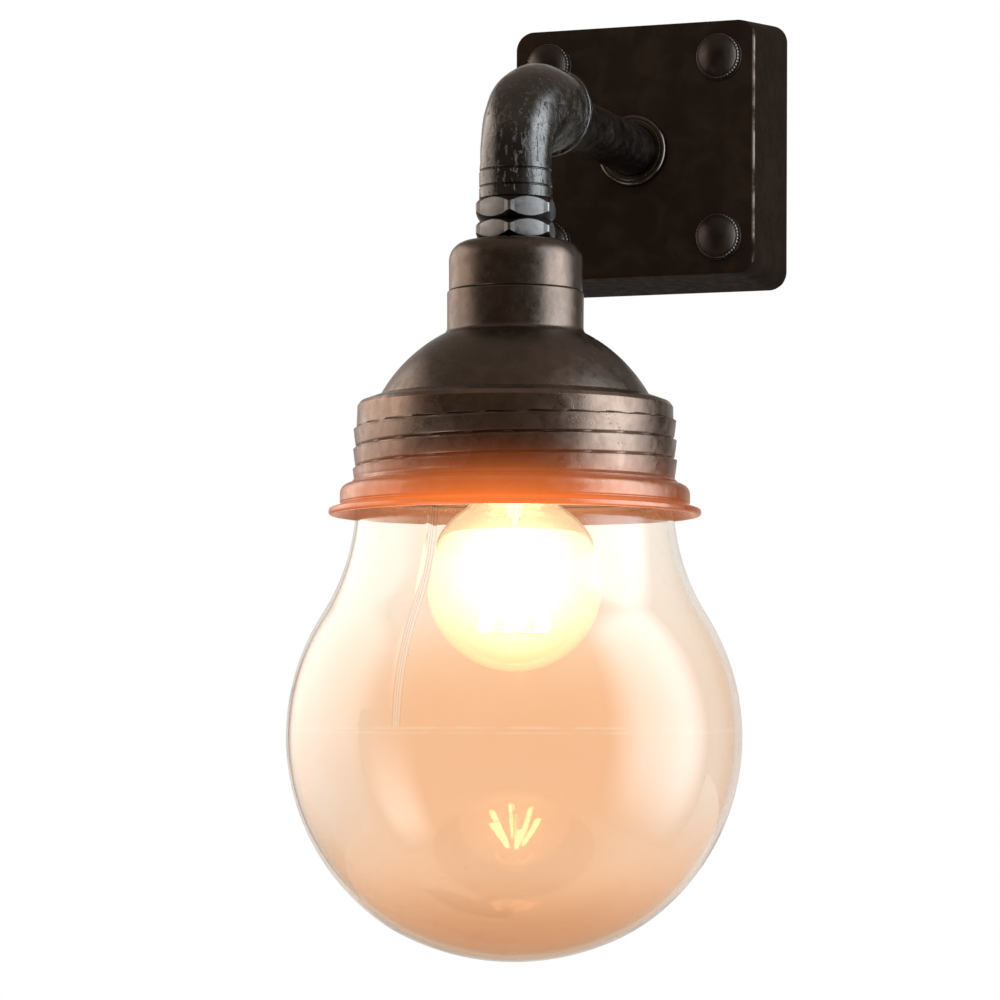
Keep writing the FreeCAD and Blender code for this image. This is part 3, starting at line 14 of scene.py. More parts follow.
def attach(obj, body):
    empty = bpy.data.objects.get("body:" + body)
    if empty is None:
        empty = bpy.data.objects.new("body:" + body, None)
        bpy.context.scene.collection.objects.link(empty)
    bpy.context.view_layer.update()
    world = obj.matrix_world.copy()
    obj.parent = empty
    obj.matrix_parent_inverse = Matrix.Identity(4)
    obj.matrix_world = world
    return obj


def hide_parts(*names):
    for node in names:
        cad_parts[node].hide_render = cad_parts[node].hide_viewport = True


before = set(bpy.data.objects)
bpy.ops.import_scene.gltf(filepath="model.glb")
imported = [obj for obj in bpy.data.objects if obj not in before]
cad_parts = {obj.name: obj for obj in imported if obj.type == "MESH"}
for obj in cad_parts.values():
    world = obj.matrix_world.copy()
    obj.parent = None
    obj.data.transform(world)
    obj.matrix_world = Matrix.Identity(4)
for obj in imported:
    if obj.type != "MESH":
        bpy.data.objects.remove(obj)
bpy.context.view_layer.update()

logging.basicConfig(level=logging.INFO, format="%(message)s")
LOG = logging.getLogger("wall_light")

MM = 0.001
LAMP_Y = -204.0
THREAD_PITCH = 8.5
THREAD_START = 100.0
GLASS_THREAD_START = -155.41
CAMERA_AZIMUTH = 19.95
TOWARDS_CAMERA = math.radians(CAMERA_AZIMUTH - 90.0)
Colour = tuple[float, float, float]


class Body(Enum):
    """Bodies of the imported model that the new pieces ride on."""

    FIXTURE = "fixture"
    GLOBE = "globe"
    LAMP = "lamp"


class Ray(Enum):
    """Outputs of the Light Path node."""

    CAMERA = "Is Camera Ray"
    SHADOW = "Is Shadow Ray"
    GLOSSY = "Is Glossy Ray"
    TRANSMISSION = "Is Transmission Ray"


# ------------------------------------------------------------------ shapes worked out with numpy


def rounded_outline(corners: Sequence[tuple[float, ...]], closed: bool, arc: int = 8,
                    run: float = 3.0) -> np.ndarray:
    """Outline through corners whose points may be rounded.

    Each corner is (radius, height) or (radius, height, fillet). A fillet replaces its corner by the
    circle arc that touches both runs: the touching points lie fillet / tan(half the corner angle)
    from the corner. Runs are divided so that no step is longer than run.

    Args:
        corners: Corners in order, in millimetres.
        closed: Whether the last corner joins the first.
        arc: Steps of each arc.
        run: Longest step on a straight run.

    Returns:
        Array of shape (points, 2).
    """
    given = np.array([c[:2] for c in corners], float)
    fillets = [c[2] if len(c) > 2 else 0.0 for c in corners]
    count = len(given)
    pieces: list[np.ndarray] = []
    for index in range(count):
        point, fillet = given[index], fillets[index]
        if fillet <= 0.0 or (not closed and index in (0, count - 1)):
            pieces.append(point[None])
            continue
        into = given[index - 1] - point
        out = given[(index + 1) % count] - point
        into, out = into / np.linalg.norm(into), out / np.linalg.norm(out)
        half = math.acos(float(np.clip(into @ out, -1, 1))) / 2
        centre = point + (into + out) / np.linalg.norm(into + out) * fillet / math.sin(half)
        first = point + into * fillet / math.tan(half) - centre
        last = point + out * fillet / math.tan(half) - centre
        start = math.atan2(first[1], first[0])
        sweep = (math.atan2(last[1], last[0]) - start + math.pi) % (2 * math.pi) - math.pi
        angle = start + sweep * np.linspace(0, 1, arc + 1)
        pieces.append(centre + fillet * np.stack([np.cos(angle), np.sin(angle)], 1))
    dense: list[np.ndarray] = []
    for index, piece in enumerate(pieces):
        dense.append(piece)
        if index == len(pieces) - 1 and not closed:
            break
        start, end = piece[-1], pieces[(index + 1) % len(pieces)][0]
        steps = int(np.linalg.norm(end - start) // run)
        if steps:
            share = np.linspace(0, 1, steps + 2)[1:-1, None]
            dense.append(start + (end - start) * share)
    return np.concatenate(dense)


def arc_points(centre: tuple[float, float], radius: float, start: float, end: float,
               steps: int) -> np.ndarray:
    """Points on a circle arc: centre plus radius times (cosine, sine) of angles from start to end degrees."""
    angle = np.radians(np.linspace(start, end, steps + 1))
    return np.stack([centre[0] + radius * np.cos(angle), centre[1] + radius * np.sin(angle)], 1)


def around(columns: int) -> np.ndarray:
    """Angles of the columns of a closed grid, in radians."""
    return np.linspace(0, 2 * np.pi, columns, endpoint=False)


def turned_grid(outline: np.ndarray, columns: int, lift: np.ndarray | float = 0.0) -> np.ndarray:
    """Turn an outline about the lamp's axis: x = r cos a, y = r sin a + lamp axis, z = height.

    Args:
        outline: Points (radius, height) in millimetres.
        columns: Steps round the axis.
        lift: Length added to the radius at each point, of shape (points, columns) or one number.

    Returns:
        Array of shape (points, columns, 3) in millimetres.
    """
    angle = around(columns)
    r, z = outline[:, :1] + lift, outline[:, 1:]
    return np.stack([r * np.cos(angle), r * np.sin(angle) + LAMP_Y, z + 0 * angle], 2)


def turned_off_wall(outline: np.ndarray, columns: int, x: float = 0.0, z: float = 0.0,
                    lift: np.ndarray | float = 0.0) -> np.ndarray:
    """Turn an outline about an axis square to the wall: (x - r cos a, -distance, z + r sin a).

    Args:
        outline: Points (radius, distance from the wall) in millimetres.
        columns: Steps round the axis.
        x: Place of the axis across the wall.
        z: Place of the axis up the wall.
        lift: Length added to the radius at each point, or one number.

    Returns:
        Array of shape (points, columns, 3) in millimetres.
    """
    angle = -around(columns)
    r, d = outline[:, :1] + lift, outline[:, 1:]
    return np.stack([x - r * np.cos(angle), -d + 0 * angle, z + r * np.sin(angle)], 2)


def soft_noise(grid: np.ndarray, seed: int, wave: float, waves: int = 14) -> np.ndarray:
    """Slow unevenness between about -1 and 1: a sum of plane sine waves in seeded directions.

    Args:
        grid: Points of any shape ending in 3, in millimetres.
        seed: Seed of the directions and phases.
        wave: Typical wave length in millimetres.
        waves: Number of waves.

    Returns:
        Array with one value for each point.
    """
    random = np.random.default_rng(seed)
    direction = random.normal(size=(waves, 3))
    direction /= np.linalg.norm(direction, axis=1, keepdims=True)
    turns = 2 * np.pi / (wave * random.uniform(0.6, 1.8, waves))
    phase = random.uniform(0, 2 * np.pi, waves)
    return np.sin((grid @ (direction * turns[:, None]).T) + phase).sum(-1) / math.sqrt(waves)


def smooth_step(value: np.ndarray, start: float, end: float) -> np.ndarray:
    """Zero before start, one after end, and 3 t^2 - 2 t^3 between them."""
    t = np.clip((value - start) / (end - start), 0, 1)
    return t * t * (3 - 2 * t)


def bell(value: np.ndarray, width: float) -> np.ndarray:
    """Bell curve exp(-(value / width)^2)."""
    return np.exp(-((value / width) ** 2))


def helix_place(angle: np.ndarray, z: np.ndarray, start: float,
                nearest: bool) -> tuple[np.ndarray, np.ndarray]:
    """Where points lie along the thread's helix, which climbs one pitch in a turn.

    With t the turn from the thread's start angle, counted modulo 1, and n a whole number, the line
    lies at z = start + pitch (t + n). n is picked for the nearest line, or for the line above.

    Args:
        angle: Angles about the lamp's axis in radians.
        z: Heights in millimetres.
        start: Height of the helix at its start angle.
        nearest: Whether to pick the nearest line rather than the line above.

    Returns:
        Distance of each point above its line in pitches, and the turns t + n of that line.
    """
    part = ((np.degrees(angle) - THREAD_START) % 360.0) / 360.0
    level = (z - start) / THREAD_PITCH - part
    whole = np.round(level) if nearest else np.ceil(level)
    return level - whole, part + whole


def thread_ridge(angle: np.ndarray, z: np.ndarray, start: float, turns: float, crest: float,
                 foot: float) -> np.ndarray:
    """Ridge of height one along a helix, flat on its crest and falling smoothly to its foot's edge.

    Args:
        angle: Angles about the lamp's axis in radians.
        z: Heights in millimetres.
        start: Height of the helix at the thread's start angle.
        turns: Length of the ridge in turns.
        crest: Width of its flat top in millimetres.
        foot: Width of its foot in millimetres.

    Returns:
        Height of the ridge at each point, from 0 to 1.
    """
    off, turn = helix_place(angle, z, start, nearest=True)
    ridge = 1 - smooth_step(np.abs(off) * THREAD_PITCH, crest / 2, foot / 2)
    return ridge * smooth_step(turn, 0.0, 0.05) * (1 - smooth_step(turn, turns - 0.05, turns))


# ------------------------------------------------------------------ meshes


@dataclass(frozen=True)
class Shell:
    """Points in millimetres with the quads and triangles between them."""

    points: np.ndarray
    quads: np.ndarray
    triangles: np.ndarray

    def joined(self, other: "Shell") -> "Shell":
        """Both shells as one.

        Args:
            other: Shell to add.

        Returns:
            The joined shell.
        """
        first = len(self.points)
        return Shell(
            np.concatenate([self.points, other.points]),
            np.concatenate([self.quads, other.quads + first]),
            np.concatenate([self.triangles, other.triangles + first]),
        )

    def volume(self) -> float:
        """Enclosed volume: the sum of a . (b x c) / 6 over triangles, negative where faces look inwards.

        Returns:
            Cubic millimetres.
        """
        split = np.concatenate([self.quads[:, [0, 1, 2]], self.quads[:, [0, 2, 3]], self.triangles])
        a, b, c = (self.points[split[:, corner]] for corner in range(3))
        return float((a * np.cross(b, c)).sum() / 6)


def grid_shell(grid: np.ndarray, wrap_rows: bool = False) -> Shell:
    """Close a grid of points into a shell whose faces look outwards.

    The last column joins the first. The last row joins the first, or else the first and the last
    row each get a fan of triangles about their middle.

    Args:
        grid: Points of shape (rows, columns, 3) in millimetres.
        wrap_rows: Whether the last row joins the first, as on a ring.

    Returns:
        The closed shell.
    """
    rows, columns = grid.shape[:2]
    index = np.arange(rows * columns).reshape(rows, columns)
    low = index if wrap_rows else index[:-1]
    high = np.roll(index, -1, 0) if wrap_rows else index[1:]
    quads = np.stack([low, np.roll(low, -1, 1), np.roll(high, -1, 1), high], 2).reshape(-1, 4)
    points = grid.reshape(-1, 3)
    triangles = np.zeros((0, 3), int)
    if not wrap_rows:
        centres = np.full((columns, 1), len(points))
        fans = [
            np.concatenate([np.roll(index[0], -1)[:, None], index[0][:, None], centres], 1),
            np.concatenate([index[-1][:, None], np.roll(index[-1], -1)[:, None], centres + 1], 1),
        ]
        triangles = np.concatenate(fans)
        points = np.concatenate([points, grid[0].mean(0)[None], grid[-1].mean(0)[None]])
    made = Shell(points, quads, triangles)
    return made if made.volume() > 0 else Shell(points, quads[:, ::-1], triangles[:, ::-1])


def surface(name: str, shell: Shell, sharp: float = 40.0) -> bpy.types.Object:
    """Make a smooth-shaded object from a shell.

    Args:
        name: Name of the object and its mesh.
        shell: Its faces, in millimetres.
        sharp: Angle in degrees over which an edge is shaded sharp.

    Returns:
        The new object, linked to the scene.
    """
    mesh = bpy.data.meshes.new(name)
    mesh.from_pydata((shell.points * MM).tolist(), [], shell.quads.tolist() + shell.triangles.tolist())
    mesh.validate()
    mesh.shade_smooth()
    mesh.set_sharp_from_angle(angle=math.radians(sharp))
    piece = bpy.data.objects.new(name, mesh)
    bpy.context.scene.collection.objects.link(piece)
    return piece


def mount(piece: bpy.types.Object, body: Body, material: bpy.types.Material, node: str) -> None:
    """Dress a new piece, let it ride on its body and stand for its node.

    Args:
        piece: The new object.
        body: Body that it moves with.
        material: Its finish.
        node: CAD node that it stands for.
    """
    piece.data.materials.clear()
    piece.data.materials.append(material)
    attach(piece, body.value)
    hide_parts(node)
    LOG.info("%s: %d faces on %s", piece.name, len(piece.data.polygons), body.value)


def dress(node: str, material: bpy.types.Material) -> None:
    """Give a CAD node a finish.

    Args:
        node: Name of the node.
        material: Its finish, put into each of its slots.
    """
    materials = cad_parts[node].data.materials
    slots = max(1, len(materials))
    materials.clear()
    for _ in range(slots):
        materials.append(material)
    LOG.info("%s: dressed in %s", node, material.name)


# ------------------------------------------------------------------ finishes


class Graph:
    """Short hand for building the node tree of a material or a world."""

    def __init__(self, owner: bpy.types.Material | bpy.types.World) -> None:
        """Start with an empty tree.

        Args:
            owner: Material or world to fill.
        """
        owner.use_nodes = True
        self.owner = owner
        self.tree = owner.node_tree
        self.tree.nodes.clear()
        self.place: bpy.types.NodeSocket | None = None

    @classmethod
    def material(cls, name: str) -> "Graph":
        """Graph of a new material called name, whose textures use object coordinates.

        Args:
            name: Name of the material.

        Returns:
            The graph.
        """
        made = cls(bpy.data.materials.new(name))
        made.place = made.node("ShaderNodeTexCoord").outputs["Object"]
        return made

    def node(self, kind: str, **settings: object) -> bpy.types.Node:
        """Add a node.

        Args:
            kind: Blender's name of the node's type.
            settings: Properties of the node.

        Returns:
            The node.
        """
        made = self.tree.nodes.new(kind)
        for key, value in settings.items():
            setattr(made, key, value)
        return made

    def feed(self, socket: bpy.types.NodeSocket, value: object) -> None:
        """Set a socket to a value, or link it to another socket.

        Args:
            socket: Input to fill.
            value: Number, colour, vector or output socket.
        """
        if isinstance(value, bpy.types.NodeSocket):
            self.tree.links.new(value, socket)
        elif isinstance(value, tuple) and socket.type == "RGBA":
            socket.default_value = (*value[:3], 1.0)
        else:
            socket.default_value = value

    def moved(self, move: Colour, scale: Colour = (1, 1, 1)) -> bpy.types.NodeSocket:
        """Object coordinates scaled and moved.

        Args:
            move: Distance moved along each axis.
            scale: Factor along each axis.

        Returns:
            The new coordinates.
        """
        made = self.node("ShaderNodeMapping")
        self.feed(made.inputs["Vector"], self.place)
        self.feed(made.inputs["Location"], move)
        self.feed(made.inputs["Scale"], scale)
        return made.outputs["Vector"]

    def noise(self, scale: float, detail: float = 4.0, rough: float = 0.55, bend: float = 0.0,
              place: bpy.types.NodeSocket | None = None) -> bpy.types.NodeSocket:
        """Fractal noise.

        Args:
            scale: Cycles per metre.
            detail: Number of finer layers.
            rough: Strength of each layer against the one before.
            bend: Distortion.
            place: Coordinates, or none for the object's own.

        Returns:
            Noise from 0 to 1.
        """
        made = self.node("ShaderNodeTexNoise")
        self.feed(made.inputs["Vector"], place or self.place)
        for key, number in (("Scale", scale), ("Detail", detail), ("Roughness", rough), ("Distortion", bend)):
            self.feed(made.inputs[key], number)
        return made.outputs["Fac"]

    def cells(self, scale: float) -> bpy.types.NodeSocket:
        """Distance to the nearest of scattered points.

        Args:
            scale: Points per metre.

        Returns:
            The output socket.
        """
        made = self.node("ShaderNodeTexVoronoi")
        self.feed(made.inputs["Vector"], self.place)
        self.feed(made.inputs["Scale"], scale)
        return made.outputs["Distance"]

    def ramp(self, value: object, low: float, high: float, start: float = 0.0,
             end: float = 1.0) -> bpy.types.NodeSocket:
        """Map low to start and high to end along 3 t^2 - 2 t^3, clamped.

        Args:
            value: Number to map.
            low: Value that gives start.
            high: Value that gives end.
            start: Result at low.
            end: Result at high.

        Returns:
            The mapped value.
        """
        made = self.node("ShaderNodeMapRange", interpolation_type="SMOOTHSTEP")
        self.feed(made.inputs["Value"], value)
        for key, number in (("From Min", low), ("From Max", high), ("To Min", start), ("To Max", end)):
            self.feed(made.inputs[key], number)
        return made.outputs["Result"]

    def math(self, kind: str, first: object, second: object) -> bpy.types.NodeSocket:
        """Arithmetic on two values.

        Args:
            kind: Name of the operation.
            first: First value.
            second: Second value.

        Returns:
            The output socket.
        """
        made = self.node("ShaderNodeMath", operation=kind)
        self.feed(made.inputs[0], first)
        self.feed(made.inputs[1], second)
        return made.outputs[0]

    def times(self, first: object, second: object) -> bpy.types.NodeSocket:
        """Product of two values."""
        return self.math("MULTIPLY", first, second)

    def mix(self, share: object, first: object, second: object) -> bpy.types.NodeSocket:
        """Blend two colours.

        Args:
            share: Share of the second colour.
            first: First colour.
            second: Second colour.

        Returns:
            The output socket.
        """
        made = self.node("ShaderNodeMix", data_type="RGBA")
        self.feed(made.inputs[0], share)
        self.feed(made.inputs[6], first)
        self.feed(made.inputs[7], second)
        return made.outputs[2]

    def bump(self, height: bpy.types.NodeSocket, depth: float, strength: float = 1.0,
             after: bpy.types.NodeSocket | None = None) -> bpy.types.NodeSocket:
        """Bump in a surface.

        Args:
            height: Height from 0 to 1.
            depth: Height of the bump in metres.
            strength: Share of it that shows.
            after: Bump that it lies on.

        Returns:
            The bent normal.
        """
        made = self.node("ShaderNodeBump")
        self.feed(made.inputs["Strength"], strength)
        self.feed(made.inputs["Distance"], depth)
        self.feed(made.inputs["Height"], height)
        if after is not None:
            self.feed(made.inputs["Normal"], after)
        return made.outputs["Normal"]

    def axis(self, name: str) -> bpy.types.NodeSocket:
        """One of the object coordinates X, Y or Z.

        Args:
            name: X, Y or Z.

        Returns:
            The output socket.
        """
        made = self.node("ShaderNodeSeparateXYZ")
        self.feed(made.inputs[0], self.place)
        return made.outputs[name]

    def facing(self) -> bpy.types.NodeSocket:
        """Zero where the surface faces the eye, one at its outline."""
        return self.node("ShaderNodeLayerWeight").outputs["Facing"]

    def rays(self, *kinds: Ray) -> bpy.types.NodeSocket:
        """Find what kind of ray sees the surface.

        Args:
            kinds: Kinds to look for.

        Returns:
            One for rays of any of the kinds, zero for others.
        """
        path = self.node("ShaderNodeLightPath")
        result = path.outputs[kinds[0].value]
        for kind in kinds[1:]:
            result = self.math("MAXIMUM", result, path.outputs[kind.value])
        return result

    def shader_mix(self, share: object, first: object, second: object) -> bpy.types.NodeSocket:
        """Blend two shaders.

        Args:
            share: Share of the second shader.
            first: First shader.
            second: Second shader.

        Returns:
            The output socket.
        """
        made = self.node("ShaderNodeMixShader")
        self.feed(made.inputs[0], share)
        self.feed(made.inputs[1], first)
        self.feed(made.inputs[2], second)
        return made.outputs[0]

    def emission(self, colour: object, strength: object) -> bpy.types.NodeSocket:
        """Shader that shines with a colour and a strength.

        Args:
            colour: Colour of the light.
            strength: Strength of the light.

        Returns:
            The output socket.
        """
        made = self.node("ShaderNodeEmission")
        self.feed(made.inputs["Color"], colour)
        self.feed(made.inputs["Strength"], strength)
        return made.outputs["Emission"]

    def principled(self, **sockets: object) -> bpy.types.NodeSocket:
        """Principled shader with sockets set; an underscore stands for a space.

        Args:
            **sockets: Value or socket for each input.

        Returns:
            The output socket.
        """
        made = self.node("ShaderNodeBsdfPrincipled")
        for key, value in sockets.items():
            self.feed(made.inputs[key.replace("_", " ")], value)
        return made.outputs["BSDF"]

    def finish(self, shader: bpy.types.NodeSocket) -> bpy.types.Material | bpy.types.World:
        """Connect the shader to the output.

        Args:
            shader: Shader to show.

        Returns:
            The finished material or world.
        """
        kind = "World" if isinstance(self.owner, bpy.types.World) else "Material"
        self.feed(self.node(f"ShaderNodeOutput{kind}").inputs["Surface"], shader)
        return self.owner


@dataclass(frozen=True)
class CastMetal:
    """Blackened cast metal: satin, pitted, with brown patches and rubbed streaks. Its knurled rims can be
    lightened as rubbed metal with a painted highlight, and it can carry a painted orange lamplight.
    """

    name: str
    dark: Colour = (0.083, 0.066, 0.055)
    warm: Colour = (0.118, 0.086, 0.068)
    rubbed: Colour = (0.28, 0.255, 0.23)
    rub_share: float = 0.25
    pit_share: float = 0.5
    pit_scale: float = 900.0
    gloss: float = 0.33
    metal: float = 1.0
    grain: float = 0.00005
    scars: float = 0.0
    painted_lamplight: float = 0.0
    # angle round the lamp's axis where the painted lamplight is strongest
    front: float = math.radians(-78.0)
    rim_wear_and_sheen: float = 0.0
    stud: float = 0.0417
    rim_r: float = 0.0098
    rim_foot: float = -0.044

    def material(self) -> bpy.types.Material:
        """Build the material: patches, rubbed streaks, rims lightened as rubbed metal with a painted
        highlight, pits, scars, a fine grain and painted lamplight.

        Returns:
            The material.
        """
        g = Graph.material(self.name)
        colour = g.mix(g.ramp(g.noise(38, 5, 0.6, 0.6), 0.38, 0.68), self.dark, self.warm)
        specks = g.ramp(g.noise(420, 7, 0.72, 0.5), 0.52, 0.72)
        areas = g.ramp(g.noise(55, 4, 0.6), 0.44, 0.64)
        rub = g.times(g.times(specks, areas), self.rub_share)
        colour = g.mix(rub, colour, self.rubbed)
        # Knurled rims of the dome nuts round the studs, lightened to the rubbed colour: rubbed metal plus a
        # painted highlight on the beads
        off = [g.math("SUBTRACT", g.math("ABSOLUTE", g.axis(name), 0.0), self.stud) for name in ("X", "Z")]
        reach = g.math("SQRT", g.math("ADD", *(g.times(part, part) for part in off)), 0.0)
        rim = g.ramp(g.axis("Y"), self.rim_foot - 0.0001, self.rim_foot + 0.0001, self.rim_wear_and_sheen, 0.0)
        rim = g.times(g.ramp(reach, self.rim_r, self.rim_r + 0.0003), rim)
        colour = g.mix(rim, colour, self.rubbed)
        pits = g.ramp(g.cells(self.pit_scale), 0.08, 0.30, 1.0, 0.0)
        pit_areas = g.ramp(g.noise(60, 3, 0.6, place=g.moved((3, 1, 2))), 0.48, 0.66)
        pits = g.times(g.times(pits, pit_areas), self.pit_share)
        colour = g.mix(pits, colour, (0.02, 0.014, 0.010))
        rough = g.ramp(g.noise(210, 5, 0.65), 0.3, 0.7, self.gloss - 0.06, self.gloss + 0.10)
        rough = g.math("ADD", rough, g.times(pits, 0.3))
        grain = g.bump(g.noise(1500, 3, 0.6), self.grain, 0.7)
        cast = g.bump(g.noise(130, 3, 0.5), 0.0003, 0.35, grain)
        scars = g.ramp(g.noise(1.0, 5, 0.7, 0.8, place=g.moved((0, 0, 0), (420, 420, 150))), 0.56, 0.66)
        scars = g.times(scars, self.scars)
        colour = g.mix(g.times(scars, 0.7), colour, (0.03, 0.024, 0.02))
        dents = g.math("MAXIMUM", pits, scars)
        normal = g.bump(g.times(dents, -1.0), 0.0003, 0.8, cast)
        # Painted lamplight: an orange emission on the metal stands for the lamp's light falling on the
        # collar's lower front
        lit: dict[str, object] = {}
        if self.painted_lamplight:
            lit = {"Emission_Color": (1.0, 0.20, 0.035), "Emission_Strength": self.painted_lamplight_strength(g)}
        shader = g.principled(Base_Color=colour, Metallic=self.metal, Roughness=rough, Normal=normal, **lit)
        return g.finish(shader)

    def painted_lamplight_strength(self, g: Graph) -> bpy.types.NodeSocket:
        """Strength of the painted lamplight: an orange emission on the metal that stands for the lamp's light
        falling on it, fixed on the object.

        It grows towards the rim. Round the axis it goes as 0.3 + 0.7 cos^2.4 of the angle from the
        front, and stays at 0.3 behind.

        Args:
            g: Graph of the material.

        Returns:
            The strength.
        """
        x, y = g.axis("X"), g.math("SUBTRACT", g.axis("Y"), LAMP_Y * MM)
        reach = g.math("SQRT", g.math("ADD", g.times(x, x), g.times(y, y)), 0.0)
        ahead = g.math("ADD", g.times(x, math.cos(self.front)), g.times(y, math.sin(self.front)))
        ahead = g.math("MAXIMUM", g.math("DIVIDE", ahead, reach), 0.0)
        share = g.math("ADD", g.times(g.math("POWER", ahead, 2.4), 0.7), 0.3)
        glow_by_height = g.math("POWER", g.ramp(g.axis("Z"), -0.140, -0.184), 2.2)
        return g.times(g.times(glow_by_height, share), self.painted_lamplight)


@dataclass(frozen=True)
class CastPaint:
    """Dark satin coat on the cast box, its right front edge given a bright line: metal rubbed through, plus a
    painted highlight where that edge catches the light.
    """

    name: str
    colour: Colour = (0.0125, 0.0076, 0.0046)
    mottle: Colour = (0.020, 0.0130, 0.0085)
    # colour of the bright edge line: rubbed metal with a painted highlight
    rubbed: Colour = (0.26, 0.22, 0.19)
    front: float = 0.0426
    half: float = 0.0586

    def material(self) -> bpy.types.Material:
        """Build the material: mottled coat, a fine cast grain and a bright line on the right front edge, as
        rubbed metal with a painted highlight.

        Returns:
            The material.
        """
        g = Graph.material(self.name)
        tone = g.mix(g.ramp(g.noise(70, 5, 0.6, 0.3), 0.4, 0.7), self.colour, self.mottle)
        # Bright line on the right front edge only: rubbed-through metal, plus a painted highlight on the edge
        # that faces the light
        depth = g.ramp(g.times(g.axis("Y"), -1.0), self.front - 0.0014, self.front - 0.0005)
        edge = g.times(depth, g.ramp(g.axis("X"), self.half - 0.0013, self.half - 0.0006))
        edge_sheen_and_wear = g.times(edge, g.ramp(g.noise(90, 4, 0.6), 0.36, 0.60, 0.0, 0.7))
        specks = g.times(g.ramp(g.noise(700, 5, 0.7), 0.68, 0.82), 0.06)
        tone = g.mix(g.math("MAXIMUM", edge_sheen_and_wear, specks), tone, self.rubbed)
        rough = g.ramp(g.noise(200, 5, 0.6), 0.3, 0.7, 0.54, 0.70)
        rough = g.math("SUBTRACT", rough, g.times(edge_sheen_and_wear, 0.18))
        normal = g.bump(g.noise(110, 3, 0.5), 0.0003, 0.3, g.bump(g.noise(1300, 3, 0.6), 0.00004, 0.6))
        shader = g.principled(Base_Color=tone, Metallic=edge_sheen_and_wear, Roughness=rough, Specular_IOR_Level=0.04,
                              Normal=normal)
        return g.finish(shader)


@dataclass(frozen=True)
class PlainMetal:
    """Turned or rolled metal with fine brush lines, small stains and optional painted shade on faces that
    look up or down.
    """

    name: str
    colour: Colour
    stain: Colour
    gloss: float = 0.32
    metal: float = 1.0
    lines: Colour = (60, 60, 2600)
    painted_face_shade: float = 0.0

    def material(self) -> bpy.types.Material:
        """Build the material: stains, brush lines, painted shade on faces that look up or down, and uneven
        gloss.

        Returns:
            The material.
        """
        g = Graph.material(self.name)
        brushed = g.noise(1.0, 3, 0.6, place=g.moved((0, 0, 0), self.lines))
        stains = g.ramp(g.noise(160, 5, 0.6, 0.4), 0.5, 0.72)
        tone = g.mix(g.ramp(brushed, 0.3, 0.7, 0.0, 0.25), self.colour, self.stain)
        tone = g.mix(g.times(stains, 0.6), tone, self.stain)
        # Painted shade: faces that look up or down, such as the nuts' chamfers in the gap between them, are
        # darkened
        slope = g.node("ShaderNodeSeparateXYZ")
        g.feed(slope.inputs[0], g.node("ShaderNodeTexCoord").outputs["Normal"])
        shaded_faces = g.ramp(g.math("ABSOLUTE", slope.outputs["Z"], 0.0), 0.25, 0.6, 0.0, self.painted_face_shade)
        tone = g.mix(shaded_faces, tone, (0.016, 0.013, 0.011))
        rough = g.ramp(g.noise(300, 4, 0.6), 0.3, 0.7, self.gloss - 0.06, self.gloss + 0.1)
        normal = g.bump(brushed, 0.00003, 0.5)
        return g.finish(g.principled(Base_Color=tone, Metallic=self.metal, Roughness=rough, Normal=normal))


@dataclass(frozen=True)
class MouldedStuff:
    """Rubber, plastic, ceramic or insulation: one colour with a fine mottle and grain."""

    name: str
    colour: Colour
    mottle: Colour
    gloss: float = 0.5
    grain: float = 0.00004

    def material(self) -> bpy.types.Material:
        """Build the material: mottled colour, uneven gloss and a fine grain.

        Returns:
            The material.
        """
        g = Graph.material(self.name)
        tone = g.mix(g.ramp(g.noise(220, 5, 0.6), 0.35, 0.7), self.colour, self.mottle)
        rough = g.ramp(g.noise(400, 4), 0.3, 0.7, self.gloss - 0.05, self.gloss + 0.08)
        normal = g.bump(g.noise(1400, 3), self.grain, 0.6)
        return g.finish(g.principled(Base_Color=tone, Roughness=rough, Normal=normal))


